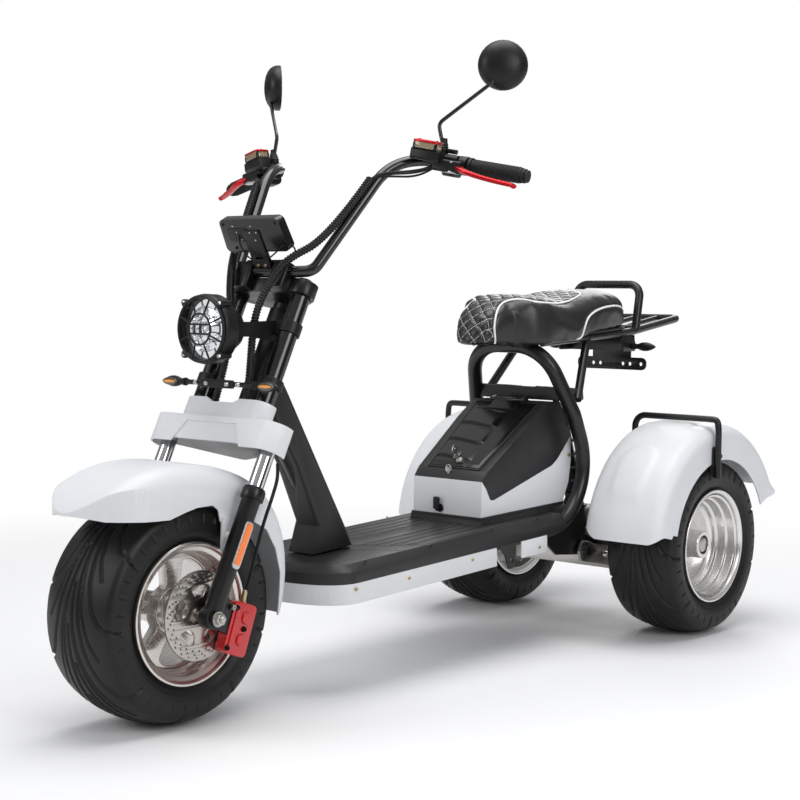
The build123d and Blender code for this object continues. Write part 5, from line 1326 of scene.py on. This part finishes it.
# The outlines from above and from the side: millimetres behind the front axle, and the size there.
plan_back = [958, 978, 1002, 1030, 1060, 1094, 1140, 1290, 1400, 1490, 1530]
plan_half = [22, 46, 58, 66, 74, 118, 138, 142, 136, 122, 96]
top_back = [958, 973, 995, 1034, 1080, 1150, 1240, 1340, 1440, 1510, 1530]
top_height = [730, 773, 801, 826, 840, 843, 834, 852, 859, 842, 800]
pan_height, nose_end = 722, 1100
for vert in seat.data.vertices:
    length, height = (vert.co.y - front_y) * 1000, vert.co.z * 1000
    half = np.interp(length, plan_back, plan_half)
    top = np.interp(length, top_back, top_height)
    rise = min(max((height - pan_height) / max(top - pan_height, 30), 0), 1)
    out = min(abs(vert.co.x) * 1000 / half, 1.1)
    crown = 20 if length > nose_end else 12
    vert.co.z -= crown / 1000 * rise ** 2 * out ** 3
    vert.co.x *= 1 - 0.10 * rise ** 2 - 0.07 * (1 - rise) ** 2
relaxed(seat, 16)
seat = fixed(seat)
# The foam swells a little against the cover, for 20 frames and by no more than 6 mm.
swell_frames, swell_limit = 20, 0.006
start = read_corners(seat.data)
cloth = seat.modifiers.new("foam", "CLOTH")
cloth.settings.use_pressure = True
cloth.settings.uniform_pressure_force = 4
cloth.settings.effector_weights.gravity = 0
cloth.settings.quality = 4
cloth.point_cache.frame_start, cloth.point_cache.frame_end = 1, swell_frames
for frame_number in range(1, swell_frames + 1):
    scene.frame_set(frame_number)
graph = bpy.context.evaluated_depsgraph_get()
moved = read_corners(seat.evaluated_get(graph).data) - start
seat.modifiers.clear()
scene.frame_set(1)
far = np.linalg.norm(moved, axis=1, keepdims=True)
moved *= np.minimum(1, swell_limit / np.maximum(far, 1e-9))
seat.data.vertices.foreach_set("co", (start + moved).ravel())
relaxed(seat, 8)
finer = seat.modifiers.new("finer", "SUBSURF")
finer.levels = finer.render_levels = 1
seat = fixed(seat)
# The seams on the left side, as (left, back, up) points; both are mirrored on the right.
seam_one = [
    (53, 1017, 724), (53, 1015, 738), (55, 1009, 757), (55, 1008, 771), (54, 1011, 786), (52, 1019, 803),
    (49, 1031, 816), (47, 1046, 826), (48, 1062, 832), (61, 1080, 837), (83, 1092, 836), (101, 1113, 830),
    (112, 1140, 827), (108, 1180, 826), (96, 1220, 827), (91, 1271, 834), (86, 1305, 842), (82, 1334, 849),
    (60, 1352, 854), (25, 1360, 858)]
seam_two = [
    (129, 1252, 735), (127, 1266, 741), (127, 1275, 746), (129, 1277, 758), (130, 1281, 768),
    (130, 1293, 789), (127, 1318, 804), (125, 1366, 817), (120, 1432, 823), (110, 1480, 818),
    (98, 1512, 806)]
crest = np.array([(958.0, 722.0)] + list(zip(top_back, top_height)))
crest_run = np.concatenate([[0], np.cumsum(np.hypot(*np.diff(crest, axis=0).T))])


def unrolled(points):
    """Distances across and along the cover, as if it lay flat, of points in millimetres."""
    best, along = np.full(len(points), 1e9), np.zeros(len(points))
    for k in range(len(crest) - 1):
        way = crest[k + 1] - crest[k]
        t = np.clip(((points[:, 1:] - crest[k]) @ way) / (way @ way), 0, 1)
        gap = np.linalg.norm(points[:, 1:] - crest[k] - t[:, None] * way, axis=1)
        nearer = gap < best
        best = np.where(nearer, gap, best)
        along = np.where(nearer, crest_run[k] + t * np.linalg.norm(way), along)
    return np.sign(points[:, 0]) * (np.abs(points[:, 0]) + np.maximum(best - 12, 0)), along


def line_gap(points, line):
    """Distance of points from a line's nearest point, on either side of the saddle."""
    points, line, best = points.copy(), np.array(line, float), np.full(len(points), 1e9)
    points[:, 0] = np.abs(points[:, 0])
    for a, b in zip(line, line[1:]):
        t = np.clip(((points - a) @ (b - a)) / ((b - a) @ (b - a)), 0, 1)
        best = np.minimum(best, np.linalg.norm(points - a - t[:, None] * (b - a), axis=1))
    return best


flesh = read_corners(seat.data)
facing = np.array([n.vector for n in seat.data.vertex_normals])
measured = flesh * 1000 - (0, front_y * 1000, 0)
across_cover, along_cover = unrolled(measured)
seam_across, seam_along = unrolled(np.array(seam_one + [(0, 1362, 859)], float))
order = np.argsort(seam_along)
limit = np.interp(along_cover, seam_along[order], np.abs(seam_across[order]))
room = np.minimum(limit - np.abs(across_cover), seam_along.max() - along_cover)
quilted = np.clip(room / 6, 0, 1) * (facing[:, 2] > -0.6)
# Diamonds of 40 mm, 1.6 mm proud, with channels 1.4 mm deep; the seams are drawn in by 1.8 mm.
quilt, pad_height, channel_depth, seam_depth = 40.0, 1.6, 1.4, 1.8
row_width = quilt / 2 ** 0.5
lines = [(across_cover + along_cover) / quilt, (across_cover - along_cover) / quilt]
gap = np.minimum(*[np.abs((line + 0.5) % 1 - 0.5) * row_width for line in lines])
rise = quilted * (pad_height * (1 - np.exp(-(gap / 7) ** 2)) - channel_depth * np.exp(-(gap / 2.4) ** 2))
near_seam = np.minimum(line_gap(measured, seam_one), line_gap(measured, seam_two))
rise -= seam_depth * np.exp(-(near_seam / 5) ** 2)
flesh = flesh + facing * rise[:, None] / 1000
seat.data.vertices.foreach_set("co", flesh.ravel())
seat.data.update()
cover = BVHTree.FromPolygons([tuple(p) for p in flesh], [tuple(p.vertices) for p in seat.data.polygons])


def on_cover(point, proud):
    """A point in metres moved onto the cover, and a little proud of it in millimetres."""
    place, normal, _, _ = cover.find_nearest(point)
    return place + normal * proud / 1000


left = [at(*p) for p in seam_one]
right = [at(-p[0], p[1], p[2]) for p in reversed(seam_one)]
piping_radius, piping_proud = 2.7, 1.2
bar("piping_front", [on_cover(p, piping_proud) for p in left + right], piping_radius, "frame", white_cord,
    True, 4)
for side, name in left_right:
    bar(f"piping_rear_{name}", [on_cover(at(side * x, y, z), piping_proud) for x, y, z in seam_two],
        piping_radius, "frame", white_cord, True, 4)
# Stitches lie in the quilting's channels: where a mesh edge crosses a channel is a place for one, and
# one is kept for every 6 mm of thread. They are thicker than real thread, so that they show.
stitch_pitch = 6
ends = np.array([e.vertices for e in seat.data.edges])
stitch_places, stitch_ways = [], []
for own, other in (lines, lines[::-1]):
    first, second = own[ends[:, 0]], own[ends[:, 1]]
    whole = np.floor(np.maximum(first, second))
    hit = (np.floor(first) != np.floor(second)) & (np.abs(first - second) < 0.5)
    hit &= (quilted[ends[:, 0]] > 0.9) & (quilted[ends[:, 1]] > 0.9)
    t = ((whole - first) / np.where(first == second, 1, second - first))[hit][:, None]
    a, b = ends[hit].T
    spots = flesh[a] * (1 - t) + flesh[b] * t
    passed = (other[a] * (1 - t[:, 0]) + other[b] * t[:, 0]) * row_width
    for row in np.unique(whole[hit]):
        mine = np.where(whole[hit] == row)[0]
        mine = mine[np.argsort(passed[mine])]
        last = None
        for k in range(1, len(mine) - 1):
            cell = int(passed[mine[k]] // stitch_pitch)
            way = spots[mine[min(k + 3, len(mine) - 1)]] - spots[mine[max(k - 3, 0)]]
            if cell != last and 0.001 < np.linalg.norm(way) < 0.03:
                stitch_places.append(on_cover(Vector(spots[mine[k]]), 0.25))
                stitch_ways.append(way)
            last = cell


def stitch_tree():
    """Short lengths of thread."""
    tree, given = new_tree("quilting_stitches", ("Stitch length", "Thread radius"))
    thread = add_node(tree, "GeometryNodeMeshCylinder", None, {
        "Vertices": 6, "Radius": given["Thread radius"], "Depth": given["Stitch length"]})
    return close_tree(tree, given, on_points(tree, given, thread.outputs["Mesh"]))


stitches = grown(seeded("quilt_stitches", stitch_places, stitch_ways), stitch_tree(), {
    "Stitch length": 0.0042, "Thread radius": 0.00048, "Finish": white_cord})
settle(stitches, "frame", white_cord, (), 50)
settle(seat, "frame", leather, ("seat_cushion",), 70)

# ---- Sizes --------------------------------------------------------------------------------
# The finished model's box.
low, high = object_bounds()
